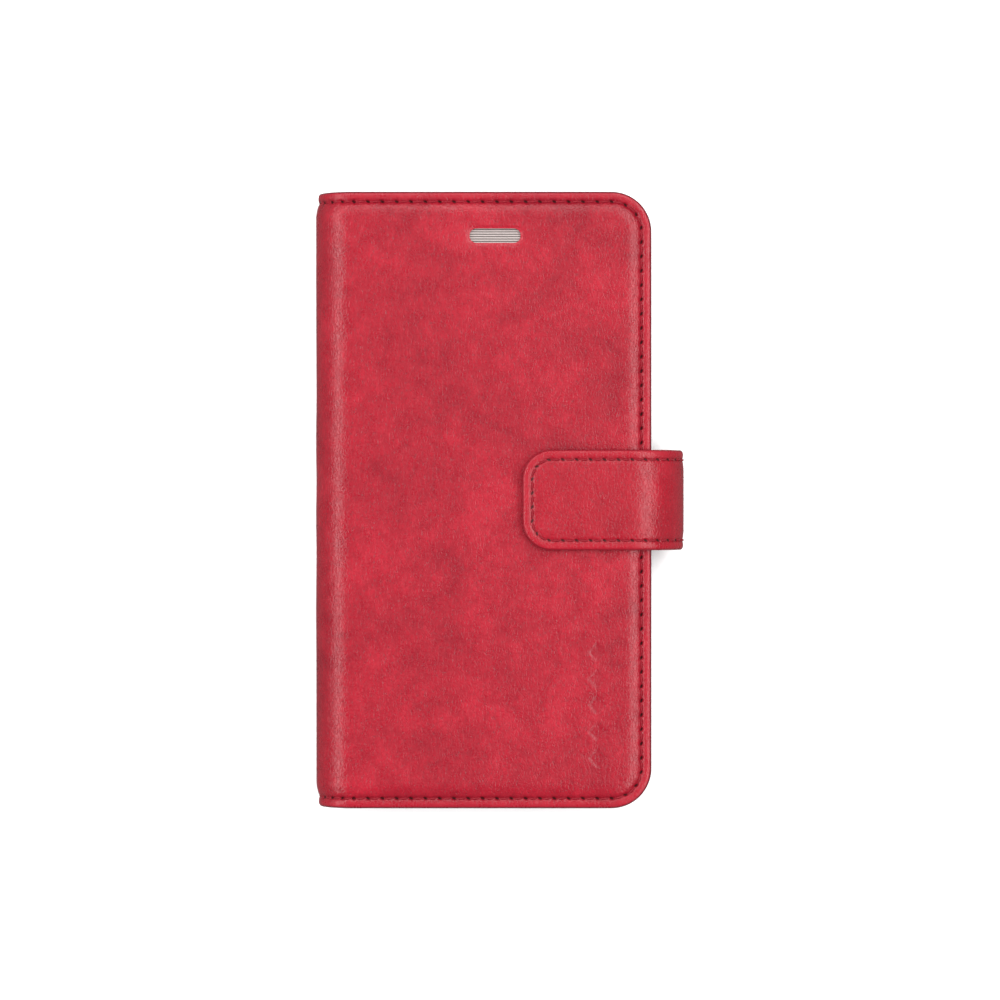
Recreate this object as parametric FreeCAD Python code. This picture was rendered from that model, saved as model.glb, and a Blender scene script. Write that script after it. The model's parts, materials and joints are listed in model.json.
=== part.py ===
"""Phone wallet case: two hinged covers with a rounded spine, a moulded phone tray and a magnetic closing strap.

Millimetres, +Z up. The case lies closed on its back cover. +Y points to the phone's earpiece end, the spine is at -X
and the strap comes round the free edge at +X. The origin is the centre of the underside of the whole case.
"""

import FreeCAD, Part
import math
import os

# The phone that the tray holds
phone_length = 138.3
phone_width = 67.1
phone_thickness = 7.3
phone_corner = 9.6
phone_gap = 0.1

# Phone tray
tray_wall = 1.4
tray_floor = 1.2
tray_lip = 0.8
tray_lip_reach = 0.8
port_width = 38.0
key_slot_height = 5.0
volume_keys_length = 27.0
volume_keys_from_end = 18.0
power_key_length = 14.0
power_key_from_end = 21.0

# Camera window, measured from the phone's corner at the free edge
camera_length = 23.0
camera_height = 11.0
camera_corner = 4.0
camera_from_side = 2.6
camera_from_end = 2.6

# How far a cutting block goes past what it cuts
over_cut = 1.0

# Covers
end_margin = 1.85
free_margin = 1.7
spine_overhang = 1.8
cover_corner = 9.4
back_leather_thickness = 0.9
back_board_thickness = 1.1
back_lining_thickness = 0.6
pad_thickness = 0.3
pad_inset = 4.0
closing_gap = 0.4
front_lining_thickness = 0.6
front_board_thickness = 1.3
padding_thickness = 0.9
front_leather_thickness = 0.9
rim_width = 3.2
roll_width = 3.4
board_inset = 0.6
layer_gap = 0.1

# Spine
spine_leather_thickness = 0.9
spine_lining_thickness = 0.6
spine_strips = 3
strip_gap = 0.3

# Pockets on the inside of the front cover
pocket_thickness = 0.5
cash_thickness = 0.5
card_pockets = 3
card_length = 85.6
card_slack = 4.0
card_seam = 2.0
cash_mouth = 8.0
card_mouth = 18.0
card_step = 9.0
pocket_inset = 1.2
pocket_corner = 3.0

# Earpiece slot
slot_length = 12.0
slot_height = 3.5
slot_from_end = 10.4
slot_roundness = 0.9  # the ends' radius as a share of half the slot's height
shield_border = 3.5
shield_thickness = 0.3

# Strap
strap_width = 23.55
strap_reach = 7.7
strap_edge_gap = 0.3
strap_leather_thickness = 0.8
strap_lining_thickness = 0.7
strap_core_thickness = 1.0
strap_lap = 30.35
strap_tab_corner = 6.9
strap_hem = 1.5
strap_lift = 0.3
strap_root_length = 20.0
strap_root_thickness = 1.1
root_gap = 0.3
magnet_radius = 4.0
magnet_thickness = 0.8
magnet_spacing = 11.0
magnet_from_tip = 10.0
plate_margin = 3.0
plate_thickness = 0.5

# Stitching
stitch_inset = 2.35
stitch_pitch = 3.35
stitch_length = 2.3
stitch_width = 0.5
stitch_depth = 0.45
groove_width = 0.9

# Heights through the closed case, from the table up
back_board_low = back_leather_thickness
back_lining_low = back_board_low + back_board_thickness
pad_low = back_lining_low + back_lining_thickness
tray_low = pad_low + pad_thickness
phone_low = tray_low + tray_floor
lip_low = phone_low + phone_thickness + phone_gap
tray_top = lip_low + tray_lip
pocket_low = tray_top + closing_gap
cash_low = pocket_low + card_pockets * pocket_thickness
front_lining_low = cash_low + cash_thickness
front_board_low = front_lining_low + front_lining_thickness
padding_low = front_board_low + front_board_thickness
rim_top = padding_low + front_leather_thickness
panel_low = padding_low + padding_thickness
front_top = panel_low + front_leather_thickness

# Plan sizes
tray_length = phone_length + 2 * (phone_gap + tray_wall)
tray_width = phone_width + 2 * (phone_gap + tray_wall)
cover_half = tray_length / 2 + end_margin
cover_width = tray_width - spine_overhang + free_margin
spine_radius = front_top / 2
overall_width = spine_radius + cover_width + strap_edge_gap + strap_reach
spine_x = spine_radius - overall_width / 2
free_x = spine_x + cover_width
board_x = spine_x + spine_lining_thickness + layer_gap
tray_x = spine_x - spine_overhang
phone_x = tray_x + tray_width / 2

# Strap arcs: a lower quarter out of the back cover and an upper quarter on to the front
strap_low = back_leather_thickness
strap_thickness = strap_leather_thickness + strap_lining_thickness
tab_thickness = strap_thickness + strap_core_thickness
tab_top = front_top + strap_lift + tab_thickness
lower_x = free_x + strap_edge_gap
strap_z = strap_low + strap_reach
upper_radius = tab_top - strap_z
upper_x = lower_x + strap_reach - upper_radius
tab_tip = free_x - strap_lap
strap_half = strap_width / 2
magnet_x = tab_tip + magnet_from_tip

# Every turning part of the spine and strap is a quarter of a half turn; the two ends share one
hinge_step = 180.0 / (spine_strips + 1)
first_hinge = hinge_step / 2


def box(x0, x1, y0, y1, z0, z1):
    """A block between two corners."""
    return Part.makeBox(x1 - x0, y1 - y0, z1 - z0, FreeCAD.Vector(x0, y0, z0))


def corner_rounded(x0, x1, y0, y1, z0, z1, radius):
    """A block with its four upright edges rounded."""
    block = box(x0, x1, y0, y1, z0, z1)
    upright = [e for e in block.Edges if abs(e.tangentAt(e.FirstParameter).z) > 0.9]
    return block.makeFillet(radius, upright)


def u_edges(x_open, x_end, half, radius, z):
    """Edges of a U in plan, open at x_open and with two round corners at x_end."""
    side = math.copysign(1.0, x_end - x_open)
    diagonal = radius * (1 - math.sqrt(0.5))
    corner = x_end - side * radius

    def point(x, y):
        return FreeCAD.Vector(x, y, z)

    return [
        Part.LineSegment(point(x_open, half), point(corner, half)).toShape(),
        Part.Arc(point(corner, half), point(x_end - side * diagonal, half - diagonal),
                 point(x_end, half - radius)).toShape(),
        Part.LineSegment(point(x_end, half - radius), point(x_end, radius - half)).toShape(),
        Part.Arc(point(x_end, radius - half), point(x_end - side * diagonal, diagonal - half),
                 point(corner, -half)).toShape(),
        Part.LineSegment(point(corner, -half), point(x_open, -half)).toShape(),
    ]


def tongue(x_square, x_round, half, radius, z0, z1):
    """A plate with square corners at one end and round corners at the other."""
    edges = u_edges(x_square, x_round, half, radius, z0)
    closing = Part.LineSegment(FreeCAD.Vector(x_square, -half, z0), FreeCAD.Vector(x_square, half, z0))
    outline = Part.Wire(edges + [closing.toShape()])
    return Part.Face(outline).extrude(FreeCAD.Vector(0, 0, z1 - z0))


def cover_plate(x_start, inset, z0, z1):
    """A plate of the covers' plan, set in from the three free edges."""
    return tongue(x_start, free_x - inset, cover_half - inset, cover_corner - inset, z0, z1)


def turned(centre_x, centre_z, radius, side, degrees):
    """The point at a turning angle from straight down, going round towards +X or -X, as (x, z)."""
    angle = math.radians(degrees)
    return centre_x + side * radius * math.sin(angle), centre_z - radius * math.cos(angle)


def arc_band(centre_x, centre_z, outer, thickness, side, start, end, half):
    """A curved strip: a ring's sector in the XZ plane, as wide in Y as twice half."""

    def at(radius, degrees):
        x, z = turned(centre_x, centre_z, radius, side, degrees)
        return FreeCAD.Vector(x, -half, z)

    middle = (start + end) / 2
    inner = outer - thickness
    wire = Part.Wire([
        Part.Arc(at(outer, start), at(outer, middle), at(outer, end)).toShape(),
        Part.LineSegment(at(outer, end), at(inner, end)).toShape(),
        Part.Arc(at(inner, end), at(inner, middle), at(inner, start)).toShape(),
        Part.LineSegment(at(inner, start), at(outer, start)).toShape(),
    ])
    return Part.Face(wire).extrude(FreeCAD.Vector(0, 2 * half, 0))


def half_gap(radius):
    """Half the gap between two strips, as a turning angle."""
    return math.degrees(strip_gap / 2 / radius)


def spine_band(depth, thickness, start, end):
    """A layer of the spine, depth below its outer face."""
    return arc_band(spine_x, spine_radius, spine_radius - depth, thickness, -1, start, end, cover_half)


def strap_band(depth, thickness, start, end):
    """A layer of the strap's side, made of the lower quarter, the upper quarter or both."""
    pieces = []
    if start < 90:
        pieces.append(arc_band(lower_x, strap_z, strap_reach - depth, thickness, 1,
                               start, min(end, 90), strap_half))
    if end > 90:
        pieces.append(arc_band(upper_x, strap_z, upper_radius - depth, thickness, 1,
                               max(start, 90), end, strap_half))
    return joined(pieces)


def joined(pieces):
    """Pieces of one material as one clean solid."""
    whole = pieces[0]
    for piece in pieces[1:]:
        whole = whole.fuse(piece)
    return whole.removeSplitter()


def camera_window():
    """The window through the back, the pad and the tray's floor."""
    side = phone_x + phone_width / 2 - camera_from_side
    end = phone_length / 2 - camera_from_end
    return corner_rounded(side - camera_length, side, end - camera_height, end, -over_cut, phone_low + over_cut,
                          camera_corner)


def groove(x_open, x_end, half, radius, z0, z1):
    """The shallow channel that a U-shaped row of stitches lies in."""
    side = math.copysign(groove_width / 2, x_end - x_open)
    outer = tongue(x_open, x_end + side, half + groove_width / 2, radius + groove_width / 2, z0, z1)
    inner = tongue(x_open, x_end - side, half - groove_width / 2, radius - groove_width / 2, z0, z1)
    return outer.cut(inner)


def stitch_row(edges, z0, z1):
    """Short threads, end to end with gaps, along a path in plan."""
    path = Part.Wire(edges)
    count = round(path.Length / stitch_pitch)
    points = path.discretize(Number=2 * count + 1)
    threads = []
    for number in range(count):
        middle = points[2 * number + 1]
        along = (points[2 * number + 2] - points[2 * number]).normalize()
        across = FreeCAD.Vector(-along.y, along.x, 0)
        corners = []
        for ahead, aside in ((-1, -1), (1, -1), (1, 1), (-1, 1)):
            corner = middle + along * (ahead * stitch_length / 2) + across * (aside * stitch_width / 2)
            corners.append(FreeCAD.Vector(corner.x, corner.y, z0))
        face = Part.Face(Part.makePolygon(corners + corners[:1]))
        threads.append(face.extrude(FreeCAD.Vector(0, 0, z1 - z0)))
    return Part.makeCompound(threads)


def cover_row(x_open):
    """The path and the channel sizes of the row of stitches near a cover's free edges."""
    return x_open, free_x - stitch_inset, cover_half - stitch_inset, cover_corner - stitch_inset


def tab_row():
    """The path and the channel sizes of the row of stitches round the strap's tab."""
    return upper_x, tab_tip + stitch_inset, strap_half - stitch_inset, strap_tab_corner - stitch_inset


def root_notch(slack):
    """The space in the back board that holds the strap's sewn end."""
    inner = free_x - strap_root_length
    return box(inner - slack, lower_x, -strap_half - slack, strap_half + slack,
               back_board_low, back_lining_low)


def back_cover():
    """Leather, board, lining and stitches of the back cover."""
    window = camera_window()
    row = cover_row(spine_x)
    leather = joined([
        spine_band(0, back_leather_thickness, 0, first_hinge - half_gap(spine_radius)),
        cover_plate(spine_x, 0, 0, back_leather_thickness),
    ])
    channel = groove(*row, 0, stitch_depth)
    board = cover_plate(board_x, board_inset, back_board_low, back_lining_low)
    lining_step = box(spine_x, spine_x + spine_lining_thickness, -cover_half, cover_half,
                      back_board_low, pad_low)
    lining = joined([
        spine_band(spine_leather_thickness, spine_lining_thickness, 0, first_hinge - half_gap(spine_radius)),
        lining_step,
        cover_plate(spine_x, 0, back_lining_low, pad_low),
    ])
    return {
        "back_leather": leather.cut(channel).cut(window),
        "back_board": board.cut(root_notch(root_gap)).cut(window),
        "back_lining": lining.cut(window),
        "back_stitching": stitch_row(u_edges(*row, 0), 0, stitch_depth),
    }


def phone_tray():
    """The moulded tray with its lips, key slots, port and camera window."""
    half = tray_length / 2
    inner_half = phone_length / 2 + phone_gap
    inner_x = phone_width / 2 + phone_gap
    tray = corner_rounded(tray_x, tray_x + tray_width, -half, half, tray_low, tray_top,
                          phone_corner + phone_gap + tray_wall)
    space = corner_rounded(phone_x - inner_x, phone_x + inner_x, -inner_half, inner_half,
                           phone_low, lip_low, phone_corner + phone_gap)
    mouth_x = inner_x - tray_lip_reach
    mouth_half = inner_half - tray_lip_reach
    mouth = corner_rounded(phone_x - mouth_x, phone_x + mouth_x, -mouth_half, mouth_half,
                           lip_low, tray_top, phone_corner + phone_gap - tray_lip_reach)
    key_low = phone_low + (phone_thickness - key_slot_height) / 2
    key_top = key_low + key_slot_height
    volume_end = phone_length / 2 - volume_keys_from_end
    power_end = phone_length / 2 - power_key_from_end
    volume = box(tray_x - over_cut, phone_x, volume_end - volume_keys_length, volume_end, key_low, key_top)
    power = box(phone_x, tray_x + tray_width + over_cut, power_end - power_key_length, power_end,
                key_low, key_top)
    port = box(phone_x - port_width / 2, phone_x + port_width / 2,
               -half - over_cut, -inner_half + tray_lip_reach, phone_low, tray_top)
    for removed in (space, mouth, volume, power, port, camera_window()):
        tray = tray.cut(removed)
    return {"phone_tray": tray}


def adhesive_pad():
    """The thin layer that bonds the tray to the back lining."""
    half = tray_length / 2 - pad_inset
    low = board_x + pad_inset
    high = tray_x + tray_width - pad_inset
    pad = corner_rounded(low, high, -half, half, pad_low, tray_low, phone_corner)
    return {"shell_adhesive_pad": pad.cut(camera_window())}


def spine():
    """The leather and lining strips that turn on each other between the covers."""
    pieces = {}
    for number in range(spine_strips):
        start = first_hinge + number * hinge_step + half_gap(spine_radius)
        end = first_hinge + (number + 1) * hinge_step - half_gap(spine_radius)
        name = str(number + 1)
        pieces["spine_leather_" + name] = spine_band(0, spine_leather_thickness, start, end)
        pieces["spine_lining_" + name] = spine_band(spine_leather_thickness, spine_lining_thickness, start, end)
    return pieces


def earpiece_slot(border, z0, z1):
    """A round-ended slot over the phone's earpiece, wider by a border."""
    middle = cover_half - slot_from_end
    half_length = slot_length / 2 + border
    half_height = slot_height / 2 + border
    return corner_rounded(phone_x - half_length, phone_x + half_length, middle - half_height,
                          middle + half_height, z0, z1, half_height * slot_roundness)


def plate_space(slack):
    """The recess in the front board that holds the steel plate under the strap's magnets."""
    reach_x = magnet_radius + plate_margin + slack
    reach_y = magnet_spacing / 2 + magnet_radius + plate_margin + slack
    return box(magnet_x - reach_x, magnet_x + reach_x, -reach_y, reach_y,
               padding_low - plate_thickness, padding_low)


def front_cover():
    """Leather, foam, board, plate, mesh, lining and stitches of the front cover."""
    row = cover_row(spine_x)
    last_hinge = 180 - first_hinge + half_gap(spine_radius)
    hole = earpiece_slot(0, pocket_low, front_top)
    foam_start = board_x + front_leather_thickness
    foam = cover_plate(foam_start, rim_width + front_leather_thickness, padding_low, panel_low)
    leather = joined([
        cover_plate(spine_x, 0, padding_low, rim_top),
        cover_plate(spine_x, rim_width, panel_low, front_top),
        box(spine_x, spine_x + roll_width, -cover_half, cover_half, padding_low, front_top),
        spine_band(0, front_leather_thickness, last_hinge, 180),
    ])
    channel = groove(*row, rim_top - stitch_depth, rim_top).cut(
        box(spine_x, spine_x + roll_width, -cover_half, cover_half, padding_low, front_top))
    mesh = earpiece_slot(shield_border, panel_low - shield_thickness, panel_low)
    board = cover_plate(board_x, board_inset, front_board_low, padding_low)
    lining_step = box(spine_x, spine_x + spine_lining_thickness, -cover_half, cover_half,
                      front_lining_low, padding_low)
    lining_riser = box(spine_x, spine_x + spine_lining_thickness, -cover_half, cover_half,
                       padding_low, front_top - spine_leather_thickness)
    lining = joined([
        cover_plate(spine_x, 0, front_lining_low, front_board_low),
        lining_step,
        lining_riser,
        spine_band(spine_leather_thickness, spine_lining_thickness, last_hinge, 180),
    ])
    stitch_start = spine_x + roll_width
    stitch_path = u_edges(stitch_start, *row[1:], rim_top)
    return {
        "front_leather": leather.cut(foam).cut(channel).cut(lining_riser).cut(hole),
        "front_padding": foam.cut(earpiece_slot(shield_border + layer_gap, padding_low, panel_low)),
        "front_board": board.cut(plate_space(layer_gap)).cut(hole),
        "closure_plate": plate_space(0),
        "shield_fabric": mesh,
        "front_lining": lining.cut(hole),
        "front_stitching": stitch_row(stitch_path, rim_top - stitch_depth, rim_top),
    }


def pockets():
    """The cash pocket and the stepped card pockets, whose mouths face the spine."""
    end = free_x - pocket_inset
    pieces = {
        "cash_pocket": tongue(spine_x + cash_mouth, end, cover_half - pocket_inset,
                              cover_corner - pocket_inset, cash_low, front_lining_low)
    }
    half = (card_length + card_slack) / 2 + card_seam
    for number in range(card_pockets):
        top = cash_low - number * pocket_thickness
        mouth = spine_x + card_mouth + number * card_step
        name = "card_pocket_" + str(number + 1)
        pieces[name] = tongue(mouth, end, half, pocket_corner, top - pocket_thickness, top)
    return pieces


def strap_root():
    """The strap's end, sewn into the back cover, and its first turn out of the edge."""
    tail = box(free_x - strap_root_length, lower_x, -strap_half, strap_half,
               back_board_low, back_board_low + strap_root_thickness)
    bend = strap_band(0, strap_thickness, 0, first_hinge - half_gap(strap_reach))
    return {"strap_root": joined([tail, bend])}


def strap_side():
    """The leather and lining strips of the strap where it comes round the free edge."""
    pieces = {}
    for number in range(spine_strips):
        start = first_hinge + number * hinge_step
        end = start + hinge_step
        start += half_gap(strap_reach if start < 90 else upper_radius)
        end -= half_gap(strap_reach if end < 90 else upper_radius)
        name = str(number + 1)
        pieces["strap_leather_" + name] = strap_band(0, strap_leather_thickness, start, end)
        pieces["strap_lining_" + name] = strap_band(strap_leather_thickness, strap_lining_thickness, start, end)
    return pieces


def strap_tab():
    """The tab that lies on the front cover, with its stiffener, magnets and stitches."""
    leather_low = tab_top - strap_leather_thickness
    core_low = leather_low - strap_core_thickness
    lining_low = core_low - strap_lining_thickness
    last_hinge = 180 - first_hinge + half_gap(upper_radius)
    step_x = upper_x - strap_lining_thickness
    core = tongue(step_x - layer_gap, tab_tip + strap_hem, strap_half - strap_hem,
                  strap_tab_corner - strap_hem, core_low, leather_low)
    leather = joined([
        tongue(upper_x, tab_tip, strap_half, strap_tab_corner, leather_low, tab_top),
        tongue(step_x, tab_tip, strap_half, strap_tab_corner, core_low, leather_low),
        strap_band(0, strap_leather_thickness, last_hinge, 180),
    ])
    core_space = tongue(step_x, tab_tip + strap_hem, strap_half - strap_hem,
                        strap_tab_corner - strap_hem, core_low, leather_low)
    lining = joined([
        tongue(upper_x, tab_tip, strap_half, strap_tab_corner, lining_low, core_low),
        box(step_x, upper_x, -strap_half, strap_half, lining_low, leather_low),
        strap_band(strap_leather_thickness, strap_lining_thickness, last_hinge, 180),
    ])
    row = tab_row()
    magnets = []
    for side in (-1, 1):
        place = FreeCAD.Vector(magnet_x, side * magnet_spacing / 2, core_low)
        magnets.append(Part.makeCylinder(magnet_radius, magnet_thickness, place))
        pit = Part.makeCylinder(magnet_radius + layer_gap, strap_core_thickness, place)
        core = core.cut(pit)
    return {
        "strap_tab_leather": leather.cut(core_space).cut(groove(*row, tab_top - stitch_depth, tab_top)),
        "strap_tab_core": core,
        "strap_tab_lining": lining,
        "strap_magnets": Part.makeCompound(magnets),
        "strap_tab_stitching": stitch_row(u_edges(*row, tab_top), tab_top - stitch_depth, tab_top),
    }


def main():
    """Builds every piece and writes one file for each."""
    os.makedirs("parts", exist_ok=True)
    pieces = {}
    for build in (back_cover, adhesive_pad, phone_tray, spine, front_cover, pockets,
                  strap_root, strap_side, strap_tab):
        pieces.update(build())
    for name, shape in pieces.items():
        shape.exportStep("parts/" + name + ".step")
        print(name, len(shape.Solids), shape.isValid(), round(shape.Volume, 2))
    print("size", overall_width, 2 * cover_half, tab_top, "spine_x", spine_x, "free_x", free_x)
    for number in range(spine_strips + 1):
        angle = first_hinge + number * hinge_step
        print("spine hinge", turned(spine_x, spine_radius, spine_radius, -1, angle))
        lower = angle < 90
        print("strap hinge", turned(lower_x if lower else upper_x, strap_z,
                                    strap_reach if lower else upper_radius, 1, angle))


main()
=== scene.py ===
"""Phone wallet case in pebbled red leather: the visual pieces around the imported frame, in metres."""
import json
import logging
import math
from dataclasses import dataclass
from enum import Enum
from typing import Callable, Optional, Sequence

import bmesh
import bpy
import numpy as np
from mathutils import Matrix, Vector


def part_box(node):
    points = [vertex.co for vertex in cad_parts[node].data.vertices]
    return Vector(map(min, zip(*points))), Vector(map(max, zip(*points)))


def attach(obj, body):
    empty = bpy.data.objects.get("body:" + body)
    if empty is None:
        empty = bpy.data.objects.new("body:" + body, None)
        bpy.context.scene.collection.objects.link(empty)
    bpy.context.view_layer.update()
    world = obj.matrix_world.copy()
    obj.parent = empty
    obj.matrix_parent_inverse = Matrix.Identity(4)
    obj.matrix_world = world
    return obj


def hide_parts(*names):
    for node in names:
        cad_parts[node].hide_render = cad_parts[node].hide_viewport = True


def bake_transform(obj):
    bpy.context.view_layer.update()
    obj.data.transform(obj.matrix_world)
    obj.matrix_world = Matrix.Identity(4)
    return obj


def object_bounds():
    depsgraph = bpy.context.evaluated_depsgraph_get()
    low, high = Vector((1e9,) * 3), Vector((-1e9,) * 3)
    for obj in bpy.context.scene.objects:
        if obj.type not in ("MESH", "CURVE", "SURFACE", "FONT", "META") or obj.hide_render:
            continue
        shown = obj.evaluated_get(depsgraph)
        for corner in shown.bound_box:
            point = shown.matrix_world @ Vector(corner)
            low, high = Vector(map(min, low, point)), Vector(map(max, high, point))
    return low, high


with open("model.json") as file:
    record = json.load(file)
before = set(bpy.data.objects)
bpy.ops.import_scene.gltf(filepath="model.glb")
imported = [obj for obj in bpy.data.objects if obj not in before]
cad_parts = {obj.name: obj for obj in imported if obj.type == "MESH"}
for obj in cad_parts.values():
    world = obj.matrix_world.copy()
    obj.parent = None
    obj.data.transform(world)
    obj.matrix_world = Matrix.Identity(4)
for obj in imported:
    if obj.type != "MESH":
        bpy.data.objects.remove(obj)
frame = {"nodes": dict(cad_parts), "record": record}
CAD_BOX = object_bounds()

LOG = logging.getLogger("phone_wallet_case")
MM = 0.001
Array = np.ndarray
HIDE = "hide"      # where a point lies on the leather laid out flat, in metres
SEAM = "seam"      # stitch count along the row, distance from the row and from the edge, in millimetres


# ---------------------------------------------------------------- sizes read from the frame

def low(node: str, axis: int) -> float:
    """The lowest coordinate of a node on an axis, in metres."""
    return float(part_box(node)[0][axis])


def high(node: str, axis: int) -> float:
    """The highest coordinate of a node on an axis, in metres."""
    return float(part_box(node)[1][axis])


@dataclass(frozen=True)
class CaseSizes:
    """The sizes that several sub-assemblies share, most of them taken from the frame's nodes.

    Attributes:
        half: half the covers' length.
        free_x: the X of the covers' free edge.
        top: the front cover's upper face.
        left, right: the case's limits in X.
        corner: the radius of the covers' free corners.
        leather, lining: their thicknesses.
        rim_drop: how much lower the rim is than the padded middle.
        lining_inset: how far the linings stay inside the covers' edges.
        stitch_inset, pitch: how far inside the edge the stitches run, and how far apart they are.
        mouth_pitch: the stitches' pitch along a pocket's mouth.
        front_lining_low, front_board_low: heights in the front cover.
        back_lining_low, back_lining_top: heights in the back cover.
    """

    half: float = high("front_leather", 1)
    free_x: float = high("front_lining", 0)
    top: float = high("front_leather", 2)
    left: float = float(CAD_BOX[0][0])
    right: float = float(CAD_BOX[1][0])
    corner: float = 9.4 * MM
    leather: float = 0.9 * MM
    lining: float = 0.6 * MM
    rim_drop: float = high("front_padding", 2) - low("front_padding", 2)
    lining_inset: float = 0.25 * MM
    stitch_inset: float = 2.35 * MM
    pitch: float = 3.35 * MM
    mouth_pitch: float = 2.4 * MM
    front_lining_low: float = low("front_lining", 2)
    front_board_low: float = low("front_board", 2)
    back_lining_low: float = high("back_board", 2)
    back_lining_top: float = low("shell_adhesive_pad", 2)

    @property
    def radius(self) -> float:
        """The spine's outer radius: half the closed case's height without the strap."""
        return self.top / 2

    @property
    def spine_x(self) -> float:
        """The X of the spine's axis."""
        return self.left + self.radius

    @property
    def width(self) -> float:
        """A cover's width from the spine's axis to its free edge."""
        return self.free_x - self.spine_x


SIZES = CaseSizes()


# ---------------------------------------------------------------- paths that the leather follows

def ease(t: Array) -> Array:
    """Smoothstep of t limited to 0..1: three t squared less two t cubed."""
    t = np.clip(t, 0.0, 1.0)
    return t * t * (3 - 2 * t)


@dataclass(frozen=True)
class SpinePath:
    """The case's outer face in section: front cover, half-round spine, back cover.

    The arc length u is 0 where the front cover meets the spine and grows towards the free edge.
    """

    def place(self, u: Array, n: Array) -> tuple[Array, Array]:
        """Turns arc length and height into X and Z.

        Args:
            u: arc length along the outer face, in metres.
            n: height above the outer face, outwards.

        Returns:
            X and Z: on the spine, the axis plus (radius + n) times the turning angle's sine and cosine.
        """
        r = SIZES.radius
        angle = np.clip(math.pi + u / r, 0.0, math.pi)
        x = SIZES.spine_x - (r + n) * np.sin(angle)
        z = r - (r + n) * np.cos(angle)
        x = x + np.where(u > 0, u, 0.0) + np.where(u < -math.pi * r, -math.pi * r - u, 0.0)
        return x, z

    def at_turn(self, degrees: float) -> float:
        """The arc length at a turning angle, counted from the back cover."""
        return (math.radians(degrees) - math.pi) * SIZES.radius


@dataclass(frozen=True)
class StrapPath:
    """The strap's outer face in section: tab, upper quarter, lower quarter, root.

    The arc length u is 0 where the tab meets the upper quarter and grows towards the tab's tip.
    """

    edge_gap: float = 0.3 * MM

    @property
    def lower_radius(self) -> float:
        """The radius of the quarter that leaves the back cover."""
        return SIZES.right - SIZES.free_x - self.edge_gap

    @property
    def low_z(self) -> float:
        """The height of the strap's outer face where it leaves the back cover."""
        return low("back_board", 2)

    @property
    def centre_z(self) -> float:
        """The height of both quarters' centres."""
        return self.low_z + self.lower_radius

    @property
    def upper_radius(self) -> float:
        """The radius of the quarter that comes on to the front cover."""
        return high("strap_tab_leather", 2) - self.centre_z

    def at_turn(self, degrees: float) -> float:
        """The arc length at a turning angle, counted from the root."""
        if degrees >= 90:
            return -math.radians(180 - degrees) * self.upper_radius
        return -math.pi / 2 * self.upper_radius - math.radians(90 - degrees) * self.lower_radius

    def place(self, u: Array, n: Array) -> tuple[Array, Array]:
        """Turns arc length and height into X and Z.

        Args:
            u: arc length along the outer face, in metres.
            n: height above the outer face, outwards.

        Returns:
            X and Z, from each quarter's centre plus (radius + n) times the angle's sine and cosine.
        """
        upper, lower = self.upper_radius, self.lower_radius
        quarter = math.pi / 2 * upper
        on_upper = u > -quarter
        angle = np.where(on_upper, math.pi + np.clip(u, -quarter, 0) / upper,
                         np.clip(math.pi / 2 + (u + quarter) / lower, 0, math.pi / 2))
        r = np.where(on_upper, upper, lower)
        x = (SIZES.right - r) + (r + n) * np.sin(angle) - np.where(u > 0, u, 0.0)
        past_root = u + quarter + math.pi / 2 * lower
        x = x + np.where(past_root < 0, past_root, 0.0)
        z = self.centre_z - (r + n) * np.cos(angle)
        return x, z


@dataclass(frozen=True)
class InnerFace:
    """The front cover's inner side at one height, facing the phone; u grows from the spine's axis."""

    level: float

    def place(self, u: Array, n: Array) -> tuple[Array, Array]:
        """X is the axis plus u, and Z the level less the height, since the face looks down."""
        return SIZES.spine_x + u, self.level - n


SPINE = SpinePath()
STRAP = StrapPath()


def fine_ends(count: int) -> Array:
    """Places from -1 to just under 1, closer together near both ends: even steps mixed with a sine."""
    t = np.linspace(-1, 1, count, endpoint=False)
    return 0.22 * t + 0.78 * np.sin(t * math.pi / 2)


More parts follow.
